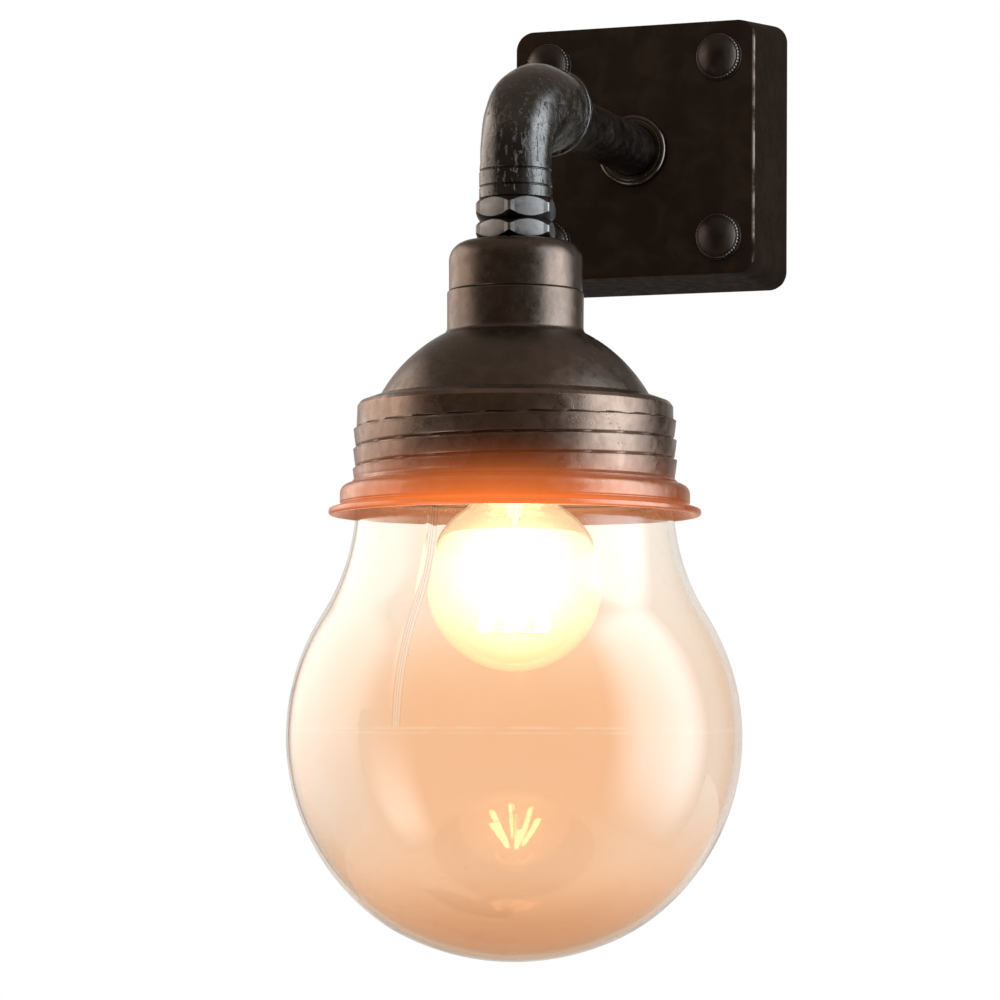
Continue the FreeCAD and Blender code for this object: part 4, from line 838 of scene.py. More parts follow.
@dataclass(frozen=True)
class BlownGlass:
    """Amber-tinted blown glass, paler at its neck and deeper at its base, with paler sides as painted
    reflection, painted highlight and shade along its seams, and a faint painted glow.
    """

    name: str
    neck: Colour = (1.0, 0.91, 0.81)
    belly: Colour = (0.97, 0.715, 0.525)
    base: Colour = (0.79, 0.50, 0.31)
    neck_z: float = -0.188
    belly_z: float = -0.262
    base_z: float = -0.372
    glow: Colour = (1.0, 0.80, 0.52)
    glow_strength: float = 0.0
    # strength of a faint painted glow in the glass round the lamp's height
    painted_globe_glow: float = 0.0
    waves: float = 0.25
    # share of the painted reflection that pales the sides
    painted_side_reflection: float = 0.85
    # strength of the painted highlight and shade along the mould seams
    seam: float = 0.0
    seam_angle: float = math.radians(-100.0)

    def seam_distance(self, g: Graph) -> bpy.types.NodeSocket:
        """Distance from the upright half plane that runs from the lamp's axis through the mould seam.

        Args:
            g: Graph of the material.

        Returns:
            The distance in metres.
        """
        x, y = g.axis("X"), g.math("SUBTRACT", g.axis("Y"), LAMP_Y * MM)
        across = [g.times(x, -math.sin(self.seam_angle)), g.times(y, math.cos(self.seam_angle))]
        return g.math("ADD", g.math("ABSOLUTE", g.math("ADD", *across), 0.0), g.ramp(y, -0.01, 0.01))

    def material(self) -> bpy.types.Material:
        """Build the material: tint by height, paler sides as painted reflection, painted highlight and shade
        along the seams, slight waves, small seeds, the lamp's glow and a painted glow on the globe, clear to
        shadow rays.

        Returns:
            The material.
        """
        g = Graph.material(self.name)
        height = g.axis("Z")
        tint = g.mix(g.ramp(height, self.neck_z, self.belly_z), self.neck, self.belly)
        tint = g.mix(g.ramp(height, self.base_z + 0.042, self.base_z), tint, self.base)
        tint = g.mix(g.ramp(g.noise(30, 4, 0.6), 0.35, 0.7, 0.0, 0.06), tint, (1.0, 0.97, 0.93))
        # Painted reflection: where the surface turns from the eye, the tint is paled towards grey-white, as
        # the white surroundings reflected there
        sides = g.times(g.ramp(g.facing(), 0.07, 0.36), g.ramp(height, -0.352, -0.295))
        sides = g.times(sides, g.ramp(g.facing(), 0.55, 0.80, 1.0, 0.10))
        tint = g.mix(g.times(sides, self.painted_side_reflection), tint, (0.95, 0.92, 0.88))
        # Painted highlight and shade along the upright mould seam above the round seam: a pale line with
        # darker edges
        across = self.seam_distance(g)
        above = g.times(g.ramp(height, -0.2725, -0.2705), self.seam)
        tint = g.mix(g.times(above, g.ramp(across, 0.0006, 0.0010, 1.0, 0.0)), tint, (1.0, 0.98, 0.95))
        edge = g.times(g.ramp(across, 0.0008, 0.0011), g.ramp(across, 0.0012, 0.0015, 1.0, 0.0))
        tint = g.mix(g.times(above, edge), tint, (0.62, 0.50, 0.42))
        # Painted highlight along the round mould seam
        level = g.math("ABSOLUTE", g.math("ADD", height, 0.2725), 0.0)
        ring = g.times(g.ramp(level, 0.0002, 0.0006, 0.55, 0.0), g.ramp(g.noise(70, 3), 0.35, 0.6))
        tint = g.mix(g.times(ring, self.seam), tint, (1.0, 0.97, 0.93))
        wave = g.bump(g.noise(26, 2, 0.4), 0.0004, self.waves)
        seeds = g.bump(g.ramp(g.cells(150), 0.03, 0.06, 1.0, 0.0), 0.0002, 0.5, wave)
        rough = g.ramp(g.noise(45, 3, 0.5), 0.4, 0.8, 0.0, 0.02)
        towards = g.math("SUBTRACT", 1.0, g.facing())
        heart = g.math("ADD", g.math("POWER", towards, 4.2), 0.07)
        # Painted glow: the globe's glass glows faintly round the lamp's height, most where it faces the eye,
        # for the lamp's light in it
        painted_globe_glow = g.times(g.math("POWER", towards, 1.4), g.ramp(height, -0.290, -0.212, 0.0, self.painted_globe_glow))
        strength = g.math("ADD", g.times(heart, self.glow_strength), painted_globe_glow)
        glass = g.principled(
            Base_Color=tint, Roughness=rough, IOR=1.45, Transmission_Weight=1.0, Normal=seeds,
            Emission_Color=self.glow, Emission_Strength=strength,
        )
        clear = g.node("ShaderNodeBsdfTransparent")
        g.feed(clear.inputs["Color"], tint)
        return g.finish(g.shader_mix(g.rays(Ray.SHADOW), glass, clear.outputs[0]))


@dataclass(frozen=True)
class Glow:
    """Something that shines."""

    name: str
    colour: Colour
    strength: float

    def material(self) -> bpy.types.Material:
        """Build the material: emission with a faint mottle.

        Returns:
            The material.
        """
        g = Graph.material(self.name)
        tone = g.mix(g.ramp(g.noise(600, 3), 0.3, 0.7, 0.0, 0.3), self.colour, (1.0, 0.62, 0.28))
        return g.finish(g.emission(tone, self.strength))


# ------------------------------------------------------------------ back box and its fastenings


@dataclass
class BackBox:
    """The cast box with its four knurled dome nuts."""

    front: float = 42.6
    stud_spacing: float = 83.4
    flange_r: float = 10.9
    flange: float = 1.2
    knurl_r: float = 9.95
    knurl_top: float = 3.9
    bead: float = 0.55
    dome_r: float = 9.2
    height: float = 7.9
    teeth: int = 40
    columns: int = 320
    back: float = 1.5
    back_half: float = 62.5
    front_half: float = 58.6
    corner_r: float = 8.6
    wall: float = 4.0
    face: float = 5.0
    hole_r: float = 11.85

    def dome_nut(self, x: float, z: float) -> Shell:
        """One dome nut: a turned outline whose rim swells into round beads.

        The rim's radius grows by bead * |cos(teeth * angle / 2)| * sqrt(1 - v^2), v running from -1
        to 1 across the rim.

        Args:
            x: Place of its axis across the box.
            z: Place of its axis up the box.

        Returns:
            The nut.
        """
        rise = self.height - self.knurl_top - 0.3
        curve = (self.dome_r**2 + rise**2) / (2 * rise)
        reach = math.degrees(math.asin(self.dome_r / curve))
        base = self.front
        rim_low, rim_high = base + self.flange, base + self.knurl_top
        dome = arc_points((0.0, base + self.height - curve), curve, 90 - reach, 89.2, 16)
        foot = rounded_outline([
            (2.6, base), (self.flange_r, base), (self.flange_r, rim_low, 0.4),
            (self.knurl_r - 0.2, rim_low, 0.1),
            (self.knurl_r - 0.1, rim_high, 0.5), (self.dome_r + 0.05, rim_high, 0.1), tuple(dome[0]),
        ], closed=False, arc=4, run=0.55)
        outline = np.concatenate([[[2.6, base + 5.6]], foot, dome[1:]])
        across = np.clip((outline[:, 1:] - (rim_low + rim_high) / 2) * 2 / (rim_high - rim_low), -1, 1)
        on_rim = (outline[:, :1] > self.dome_r + 0.1) & (outline[:, :1] < self.knurl_r + 0.1)
        round_bead = np.abs(np.cos(self.teeth * around(self.columns) / 2))
        lift = np.where(on_rim, self.bead * np.sqrt(1 - across**2), 0.0) * round_bead
        return grid_shell(turned_off_wall(outline, self.columns, x, z, lift))

    def casting(self) -> Shell:
        """Hollow square casting, made of closed loops carried over its outside and back through its inside.

        A loop at half width h with corner radius c has the points s (h - c) + c (cos a, sin a), s
        being the corner's signs; c = h gives the circle of the pipe's hole.

        Returns:
            The closed shell.
        """
        angle = around(160) + math.pi / 160
        corner = np.stack([np.sign(np.cos(angle)), np.sign(np.sin(angle))], 1)
        swing = np.stack([np.cos(angle), np.sin(angle)], 1)
        lean = (self.back_half - self.front_half) / (self.front - self.back)
        front, corner_r, edge = self.front, self.corner_r, 1.2
        bend = np.radians(np.linspace(0, 90, 6))
        start = self.front_half + lean * edge
        sides = np.linspace(self.back, front - edge, 12)
        rows = [(self.back_half - lean * (d - self.back), corner_r, d) for d in sides]
        rows += [(start - edge * (1 - math.cos(b)), corner_r, front - edge * (1 - math.sin(b)))
                 for b in bend[1:]]
        rows += [(h, min(corner_r, h), front) for h in (50.0, 36.0, 24.0)]
        rows += [(self.hole_r, self.hole_r, front), (self.hole_r, self.hole_r, front - self.face)]
        inner, deep = self.wall, front - self.face
        rows += [(h, min(corner_r - 3, h), deep) for h in (24.0, 36.0, self.front_half - inner)]
        rows += [(self.back_half - inner - lean * (d - self.back), corner_r - 3, d)
                 for d in (25.0, 12.0, self.back)]
        h, c, d = (np.array(column)[:, None] for column in zip(*rows))
        x, z = (corner[:, side] * (h - c) + c * swing[:, side] for side in range(2))
        grid = np.stack([x, -d + 0 * angle, z], 2)
        return grid_shell(grid, wrap_rows=True)

    def build(self, coat: bpy.types.Material, turned: bpy.types.Material) -> None:
        """Make and dress the box and its dome nuts.

        Args:
            coat: Finish of the box.
            turned: Finish of the dome nuts.
        """
        half = self.stud_spacing / 2
        nuts = self.dome_nut(-half, -half)
        for x, z in ((-half, half), (half, -half), (half, half)):
            nuts = nuts.joined(self.dome_nut(x, z))
        mount(surface("knurled_dome_nuts", nuts), Body.FIXTURE, turned, "dome_nuts")
        mount(surface("cast_back_box", self.casting(), 50), Body.FIXTURE, coat, "back_box")


# ------------------------------------------------------------------ pipe, elbow and lock nuts


@dataclass
class PipeArm:
    """Wall pipe, pipe collar, elbow and the two lock nuts."""

    front: float = 42.6
    bend: float = 28.0
    neck_r: float = 15.3
    foot_r: float = 15.8
    mouth_r: float = 18.6
    bead_r: float = 19.5
    end: float = 44.0
    mouth: float = 46.0
    mouth_line: float = 41.0
    bore_r: float = 8.0
    flats: float = 32.0
    face_r: float = 15.3
    turn: float = 10.85
    upper_nut: tuple[float, float] = (44.0, 53.6)
    lower_nut: tuple[float, float] = (53.6, 62.4)
    pipe_r: float = 11.8
    pipe_bore_r: float = 9.0
    pipe_ends: tuple[float, float] = (14.0, 170.0)
    ring_r: float = 16.7
    ring_depth: float = 4.4
    columns: int = 160

    def pipe(self) -> Shell:
        """Straight tube off the wall, its wall a closed outline turned about the pipe's axis.

        Returns:
            The closed shell.
        """
        start, end = self.pipe_ends
        outline = rounded_outline([
            (self.pipe_r, start, 0.5), (self.pipe_r, end, 0.5), (self.pipe_bore_r, end, 0.5),
            (self.pipe_bore_r, start, 0.5),
        ], closed=True, arc=4, run=2.0)
        wave = soft_noise(turned_off_wall(outline, 128), 4, 26.0) * 0.05
        return grid_shell(turned_off_wall(outline, 128, lift=wave), wrap_rows=True)

    def ring(self) -> Shell:
        """Rounded ring on the box's front, with a fine turned line inside its edge.

        Returns:
            The closed shell.
        """
        inner, base, top = self.pipe_r + 0.05, self.front, self.front + self.ring_depth
        outline = rounded_outline([
            (inner, base), (self.ring_r, base), (self.ring_r, top, 1.6), (14.6, top, 0.2),
            (14.4, top - 0.3, 0.2), (14.0, top, 0.2), (inner, top, 0.4),
        ], closed=True, arc=7, run=1.5)
        return grid_shell(turned_off_wall(outline, 144), wrap_rows=True)

    def elbow(self) -> Shell:
        """Cast elbow: rings carried along a quarter bend, whose radius swells from the leg to the mouth.

        Station s runs along the middle line: straight up the leg, round the bend with the angle
        s / bend radius, and straight out to the mouth. Each ring lies across the line there. The
        outer rings run from the leg's end to the mouth, and the bore's rings run back.

        Returns:
            The closed shell.
        """
        leg, quarter = self.end - self.bend, self.bend * math.pi / 2
        total = leg + quarter + self.mouth - self.bend
        outer = rounded_outline(self.elbow_outline(leg, quarter, total), closed=False, arc=6, run=0.8)
        inner = rounded_outline([
            (11.85, total, 0.3), (11.85, total - 12, 0.3), (self.bore_r, total - 12, 0.3),
            (self.bore_r, 12, 0.3), (10.55, 12, 0.3), (10.55, 0, 0.3),
        ], closed=False, arc=3, run=1.5)
        rings = np.concatenate([outer, inner])
        radius, station = rings[:, 0], rings[:, 1]
        angle = np.clip((station - leg) / self.bend, 0, math.pi / 2)
        before, after = np.minimum(station - leg, 0), np.maximum(station - leg - quarter, 0)
        y = self.bend * (1 - np.cos(angle)) + after + LAMP_Y
        z = self.bend * (np.sin(angle) - 1) + before
        line = np.stack([0 * y, y, z], 1)
        across = np.stack([0 * y, -np.cos(angle), np.sin(angle)], 1)
        column = around(self.columns)
        ring = np.sin(column)[None, :, None] * across[:, None]
        ring = ring + np.cos(column)[None, :, None] * np.array([1.0, 0, 0])
        grid = line[:, None] + ring * radius[:, None, None]
        uneven = soft_noise(grid, 11, 17.0) * 0.12 + soft_noise(grid, 12, 5.0) * 0.03
        cast = np.where(np.arange(len(rings)) < len(outer), 1.0, 0.0)
        cast *= smooth_step(station, 13, 20) * (1 - smooth_step(station, total - 7, total - 5))
        return grid_shell(grid + ring * (uneven * cast[:, None])[..., None], wrap_rows=True)

    def elbow_outline(self, leg: float, quarter: float, total: float) -> list[tuple[float, ...]]:
        """Outside of the elbow from the leg's end to the mouth.

        Args:
            leg: Station where the bend starts.
            quarter: Length of the bend.
            total: Station of the mouth.

        Returns:
            Corners (radius, station, fillet).
        """
        upper, lower, foot = self.end - 32.3, self.end - 39.2, self.foot_r
        swell = [
            (self.neck_r + (self.mouth_r - self.neck_r) * share**1.4, leg + quarter * share)
            for share in np.linspace(0, 1, 16)
        ]
        line, mouth = total - self.mouth + self.mouth_line, self.mouth_r
        return [
            (foot, 0, 0.3), (foot, lower - 0.5, 0.15), (foot - 0.7, lower, 0.15), (foot, lower + 0.5, 0.15),
            (foot, upper - 0.5, 0.15), (foot - 0.8, upper, 0.15), (foot - 0.1, upper + 0.6, 0.3), *swell,
            (mouth, line - 0.6, 0.2), (mouth - 0.8, line, 0.15), (mouth - 0.1, line + 0.5, 0.2),
            (self.bead_r, line + 1.2, 0.8), (self.bead_r, total - 0.6, 1.4), (mouth - 0.8, total, 0.3),
        ]

    def lock_nut(self, top: float, bottom: float) -> Shell:
        """Hexagon nut with its corners turned off.

        The side lies at h(a) = half the flats / cos(a), a being the angle from the nearest flat's
        middle, and the 45-degree cone from the face circle meets it h(a) - face radius below each
        face, which draws the arcs on the flats.

        Args:
            top: Depth of the upper face below the pipe's axis.
            bottom: Depth of the lower face.

        Returns:
            The closed shell.
        """
        columns = 360
        angle = around(columns)
        side = self.flats / 2 / np.cos((angle + np.pi / 6) % (np.pi / 3) - np.pi / 6)
        side = np.minimum(side, self.flats / 2 / math.cos(math.pi / 6) - 0.22)
        drop = np.maximum(side - self.face_r, 0.0)
        one = np.ones(columns)
        rows = [
            (10.55 * one, -bottom * one), (self.face_r * one, -bottom * one),
            (side - 0.12, -bottom + drop - 0.12), (side, -bottom + drop + 0.12),
            (side, -top - drop - 0.12), (side - 0.12, -top - drop + 0.12),
            (self.face_r * one, -top * one), (10.55 * one, -top * one),
        ]
        whole = angle + math.radians(self.turn)
        grid = np.stack([np.stack([r * np.cos(whole), r * np.sin(whole) + LAMP_Y, z], 1) for r, z in rows])
        return grid_shell(grid, wrap_rows=True)

    def build(self, cast: bpy.types.Material, turned: bpy.types.Material, ring: bpy.types.Material,
              worn: bpy.types.Material) -> None:
        """Make and dress the arm's pieces.

        Args:
            cast: Finish of the elbow.
            turned: Finish of the pipe.
            ring: Finish of the pipe's ring.
            worn: Finish of the lock nuts.
        """
        upper = surface("lock_nut_upper", self.lock_nut(*self.upper_nut), 28)
        lower = surface("lock_nut_lower", self.lock_nut(*self.lower_nut), 28)
        mount(surface("pipe_tube", self.pipe()), Body.FIXTURE, turned, "wall_pipe")
        mount(surface("pipe_ring", self.ring()), Body.FIXTURE, ring, "pipe_collar")
        mount(surface("cast_elbow", self.elbow(), 50), Body.FIXTURE, cast, "elbow")
        mount(upper, Body.FIXTURE, worn, "upper_lock_nut")
        mount(lower, Body.FIXTURE, worn, "lower_lock_nut")


# ------------------------------------------------------------------ lamp head


@dataclass
class LampHead:
    """Neck cap, canopy and screw collar."""

    dome_r: float = 66.3
    dome_centre: float = -160.9
    neck_r: float = 29.4
    foot_r: float = 58.9
    sheet: float = 2.5
    rib_start: float = -162.24
    rib_turns: float = 2.85
    rib_lift: float = 1.2
    columns: int = 360

    def cap(self) -> Shell:
        """Neck cap: a closed outline with a rounded shoulder, turned about the lamp's axis.

        Returns:
            The closed shell.
        """
        outline = rounded_outline([
            (10.55, -62.4, 0.3), (28.7, -62.4, 8.5), (28.7, -84.0, 0.8), (25.5, -84.0, 0.3),
            (25.5, -65.6, 5.3), (10.55, -65.6, 0.3),
        ], closed=True, arc=16, run=1.5)
        return grid_shell(turned_grid(outline, 192, self.uneven(outline, 192, 21, 0.05)), wrap_rows=True)

    @staticmethod
    def uneven(outline: np.ndarray, columns: int, seed: int, depth: float) -> np.ndarray:
        """Slow unevenness of a turned piece, up to about a depth in millimetres."""
        return soft_noise(turned_grid(outline, columns), seed, 22.0) * depth

    def canopy(self) -> Shell:
        """Canopy: neck, small fillet and dome, hollow, with a plate across the neck.

        Returns:
            The closed shell.
        """
        inner_r = self.dome_r - self.sheet
        reach = [math.degrees(math.acos(r / self.dome_r)) for r in (self.foot_r, 32.6)]
        inner_reach = [math.degrees(math.acos(r / inner_r)) for r in (26.9, self.foot_r - self.sheet)]
        dome = arc_points((0, self.dome_centre), self.dome_r, *reach, 60)
        inner = arc_points((0, self.dome_centre), inner_r, *inner_reach, 40)
        meet = self.dome_centre + math.sqrt(self.dome_r**2 - self.neck_r**2)
        neck = rounded_outline([
            tuple(dome[-1]), (self.neck_r, meet, 3.0), (self.neck_r, -84.0, 0.8), (10.55, -84.0, 0.3),
            (10.55, -88.0, 0.3), tuple(inner[0]),
        ], closed=False, arc=8, run=1.5)
        outline = np.concatenate([dome, neck[1:-1], inner])
        return grid_shell(turned_grid(outline, 256, self.uneven(outline, 256, 23, 0.06)), wrap_rows=True)

    def rib_height(self, angle: np.ndarray, z: np.ndarray) -> np.ndarray:
        """Height of the rolled thread over the collar's wall, in millimetres.

        With u the share of a pitch below the line above, each rib climbs within u = 0.1, stands
        there with a thin crest, and falls as 1 - 0.97 u^1.35 to the next line, where a fine groove
        runs. It fades out towards the collar's foot and the thread's ends.

        Args:
            angle: Angles round the lamp's axis.
            z: Heights in millimetres.

        Returns:
            The heights, one for each angle and height.
        """
        off, turn = helix_place(angle, z, self.rib_start, nearest=False)
        below = -off
        rib = smooth_step(below, 0.0, 0.1) * (1 - 0.97 * below**1.35) + 0.10 * bell(below - 0.11, 0.035)
        cut = bell(np.minimum(below, 1 - below), 0.048)
        fade = smooth_step(z, -166.0, -163.6) * smooth_step(turn, -0.05, 0.1) * (
            1 - smooth_step(turn, self.rib_turns - 0.1, self.rib_turns + 0.15))
        return (self.rib_lift * rib - 0.42 * cut) * fade

    def collar(self) -> Shell:
        """Screw collar: a closed outline turned about the lamp's axis, its wall lifted by the thread.

        Returns:
            The closed shell.
        """
        top = rounded_outline([
            (59.2, -130.5), (59.2, -129.0, 0.4), (66.5, -131.6, 0.9), (67.9, -133.5, 0.9), (67.92, -134.2),
        ], closed=False, arc=5, run=0.9)
        wall = rounded_outline([(67.92, -134.2), (68.58, -163.4)], closed=False, run=0.34)
        foot = rounded_outline([
            (68.58, -163.4), (68.6, -164.4, 0.4), (70.2, -166.05, 0.3), (69.9, -166.5, 0.2),
            (70.4, -166.9, 0.2), (75.3, -166.9, 4.1), (75.3, -174.7, 0.5), (74.6, -175.3, 0.3),
            (76.0, -176.2, 0.5), (80.1, -177.6, 1.1),
            (80.1, -180.2, 1.1), (77.6, -180.2, 0.4), (72.8, -175.6, 0.6), (72.8, -171.2, 1.0),
            (66.0, -171.2, 0.8), (64.0, -169.2),
        ], closed=False, arc=5, run=1.2)
        bore = rounded_outline([
            (64.0, -169.2), (64.0, -133.5, 0.4), (44.5, -133.5, 0.3), (44.5, -130.5, 0.3), (59.2, -130.5),
        ], closed=False, arc=3, run=1.7)
        outline = np.concatenate([top, wall[1:], foot[1:], bore[1:-1]])
        angle, r, z = around(self.columns)[None], outline[:, :1], outline[:, 1:]
        outside = (r > 67.2) & (z > -167.0) & (z < -134.0)
        rib = np.where(outside, self.rib_height(angle, z), 0.0)
        inside = (r < 66.1) & (z < -134.0)
        groove = 2.2 * thread_ridge(angle, z, GLASS_THREAD_START - 2 * THREAD_PITCH, 4.2, 3.0, 6.0)
        groove = np.where(inside, np.maximum(groove - np.maximum(r - 64.0, 0.0), 0.0), 0.0)
        lift = rib + groove + self.uneven(outline, self.columns, 27, 0.05)
        return grid_shell(turned_grid(outline, self.columns, lift), wrap_rows=True)

    def build(self, cast: bpy.types.Material, collar: bpy.types.Material) -> None:
        """Make and dress the head's pieces.

        Args:
            cast: Finish of the neck cap and the canopy.
            collar: Finish of the screw collar.
        """
        mount(surface("cast_neck_cap", self.cap()), Body.FIXTURE, cast, "neck_cap")
        mount(surface("cast_canopy", self.canopy()), Body.FIXTURE, cast, "canopy")
        ring = surface("rolled_screw_collar", self.collar(), 60)
        mount(ring, Body.FIXTURE, collar, "screw_collar")


# ------------------------------------------------------------------ globe


@dataclass
class GlassGlobe:
    """Blown globe with a flattened base, a flared neck, a screw thread and a mould seam."""

    ball_r: float = 98.0
    ball_centre: float = -275.4
    base_r: float = 106.0
    base_pole: float = -372.0
    turn_r: float = 80.0
    wall: float = 3.0
    neck_r: float = 68.2
    flare_top: float = -173.0
    screw_r: float = 62.8
    lip: float = -137.4
    seam_angle: float = math.radians(-100.0)
    seam_height: float = -272.5
    columns: int = 252

    def sides(self, inset: float) -> np.ndarray:
        """Outline from the bottom to the neck, moved in by inset.

        The flare is the circle that touches the ball and the neck: its radius is
        (neck^2 + rise^2 - ball^2) / (2 (ball - neck)). The turn touches the ball and the base's
        curve from inside, so its centre lies ball - turn and base - turn from their centres.

        Args:
            inset: Distance to move in.

        Returns:
            Radius and height of each point.
        """
        rise = self.flare_top - self.ball_centre
        flare = (self.neck_r**2 + rise**2 - self.ball_r**2) / (2 * (self.ball_r - self.neck_r))
        meet = math.degrees(math.atan2(rise, self.neck_r + flare))
        base_centre = self.base_pole + self.base_r
        gap = base_centre - self.ball_centre
        reach, base_reach = self.ball_r - self.turn_r, self.base_r - self.turn_r
        drop = (base_reach**2 - reach**2 + gap**2) / (2 * gap)
        side = math.sqrt(base_reach**2 - drop**2)
        low = math.degrees(math.atan2(-drop, side))
        high = math.degrees(math.atan2(gap - drop, side))
        base = arc_points((0, base_centre), self.base_r - inset, -89.2, low, 32)
        turn = arc_points((side, base_centre - drop), self.turn_r - inset, low, high, 12)
        ball = arc_points((0, self.ball_centre), self.ball_r - inset, high, meet, 72)
        throat = arc_points((self.neck_r + flare, self.flare_top), flare + inset, 180 + meet, 180, 28)
        return np.concatenate([base, turn[1:], ball[1:], throat[1:]])

    def build(self, glass: bpy.types.Material) -> None:
        """Make the globe: the outline turned about the axis, its neck threaded and its seam raised.

        Args:
            glass: Finish of the globe.
        """
        outside, inside = self.sides(0.0), self.sides(self.wall)[::-1]
        inner_screw = self.screw_r - self.wall
        screw = rounded_outline([
            tuple(outside[-1]), (self.screw_r, -170.0, 1.5), (self.screw_r, self.lip, 1.2),
            (inner_screw, self.lip, 1.2), (inner_screw, -171.0, 1.5), tuple(inside[0]),
        ], closed=False, arc=5, run=1.2)
        outline = np.concatenate([outside, screw[1:-1], inside])
        angle, r, z = around(self.columns)[None], outline[:, :1], outline[:, 1:]
        on_screw = (np.abs(r - self.screw_r) < 0.1) & (z > -169.0)
        lift = np.where(on_screw, 2.6 * thread_ridge(angle, z, GLASS_THREAD_START, 1.75, 1.0, 4.8), 0.0)
        seam = bell(z - self.seam_height, 0.6) * 0.12
        off = (angle - self.seam_angle + np.pi) % (2 * np.pi) - np.pi
        upper = smooth_step(z, self.seam_height, self.seam_height + 3) * (1 - smooth_step(z, -178, -175))
        seam = seam + bell(off * r, 0.9) * 0.6 * upper
        lift = lift + np.where(np.arange(len(outline))[:, None] < len(outside), seam, 0.0)
        shell = grid_shell(turned_grid(outline, self.columns, lift))
        mount(surface("blown_globe", shell, 70), Body.GLOBE, glass, "globe")


# ------------------------------------------------------------------ lamp


@dataclass
class FilamentLamp:
    """Globe-shaped lamp: glass, screw cap, filament strips."""

    radius: float = 38.2
    centre: float = -209.0
    neck_r: float = 15.0
    fillet: float = 16.0
    cap_pitch: float = 3.62
    strips: int = 6
    strip_r: float = 1.9
    strip_top: tuple[float, float] = (7.0, -188.0)
    strip_bottom: tuple[float, float] = (15.0, -230.0)

    def glass_outline(self, inset: float) -> np.ndarray:
        """Envelope from the bottom up: ball, concave neck and taper, moved in by inset.

        Args:
            inset: Distance to move in.

        Returns:
            Radius and height of each point.
        """
        rise = math.sqrt((self.radius + self.fillet) ** 2 - (self.neck_r + self.fillet) ** 2)
        meet = math.degrees(math.atan2(rise, self.neck_r + self.fillet))
        ball = arc_points((0, self.centre), self.radius - inset, -89.0, meet, 90)
        throat = arc_points((self.neck_r + self.fillet, self.centre + rise), self.fillet + inset,
                            180 + meet, 180, 24)
        return np.concatenate([ball, throat[1:], [[12.7 - inset, -155.8], [12.7 - inset, -151.0]]])

    def envelope(self) -> Shell:
        """Thin glass: the outside outline up and the inside outline back, turned about the axis."""
        outline = np.concatenate([self.glass_outline(0.0), self.glass_outline(0.9)[::-1]])
        return grid_shell(turned_grid(outline, 160))

    def cap(self) -> Shell:
        """Screw cap: a thin wall whose radius swings by the rounded thread, cosine of height and angle.

        Returns:
            The closed shell.
        """
        outline = rounded_outline([
            (12.75, -155.5), (13.15, -155.5, 0.15), (13.15, -136.0, 0.6), (11.2, -134.0, 0.4),
            (8.0, -134.0, 0.1), (8.0, -134.4, 0.1), (10.9, -134.4, 0.3), (12.75, -136.3, 0.4),
        ], closed=True, arc=4, run=0.35)
        columns = 144
        r, z = outline[:, :1], outline[:, 1:]
        phase = z / self.cap_pitch - around(columns)[None] / (2 * np.pi)
        fade = smooth_step(z, -154.5, -152.5) * (1 - smooth_step(z, -138.5, -136.5))
        lift = np.where(r > 12.5, -0.42 * (0.5 - 0.5 * np.cos(2 * np.pi * phase)) * fade, 0.0)
        return grid_shell(turned_grid(outline, columns, lift), wrap_rows=True)

    def strip(self, turn: float) -> Shell:
        """One slanted filament strip with round ends: circles of radius r sqrt(1 - v^2) near its ends.

        Args:
            turn: Its angle about the lamp's axis in radians.

        Returns:
            The strip.
        """
        top, bottom = np.array(self.strip_top), np.array(self.strip_bottom)
        along = (bottom - top) / np.linalg.norm(bottom - top)
        length = np.linalg.norm(bottom - top)
        end = np.linspace(0.05, 1.5, 6)
        place = np.concatenate([end, np.linspace(4, length - 4, 6), length - end[::-1]])
        near_end = np.minimum(np.minimum(place, length - place) / self.strip_r, 1.0)
        radius = self.strip_r * np.sqrt(1 - (1 - near_end) ** 2)
        middle = top + along * place[:, None]
        angle = around(16)
        side = np.array([along[1], -along[0]])
        r = middle[:, :1] + radius[:, None] * np.cos(angle) * side[0]
        z = middle[:, 1:] + radius[:, None] * np.cos(angle) * side[1]
        off = radius[:, None] * np.sin(angle)
        x = r * math.cos(turn) - off * math.sin(turn)
        y = r * math.sin(turn) + off * math.cos(turn) + LAMP_Y
        return grid_shell(np.stack([x, y, z], 2))

    def build(self, glass: bpy.types.Material, cap: bpy.types.Material, glow: bpy.types.Material) -> None:
        """Make and dress the lamp.

        Args:
            glass: Finish of its glass.
            cap: Finish of its screw cap.
            glow: Finish of its filament strips.
        """
        strips = self.strip(0.0)
        for index in range(1, self.strips):
            strips = strips.joined(self.strip(2 * math.pi * index / self.strips))
        mount(surface("filament_strips", strips), Body.LAMP, glow, "bulb_filaments")
        mount(surface("lamp_envelope", self.envelope(), 50), Body.LAMP, glass, "bulb_glass")
        mount(surface("lamp_screw_cap", self.cap(), 50), Body.LAMP, cap, "bulb_cap")


# ------------------------------------------------------------------ camera, light and surroundings


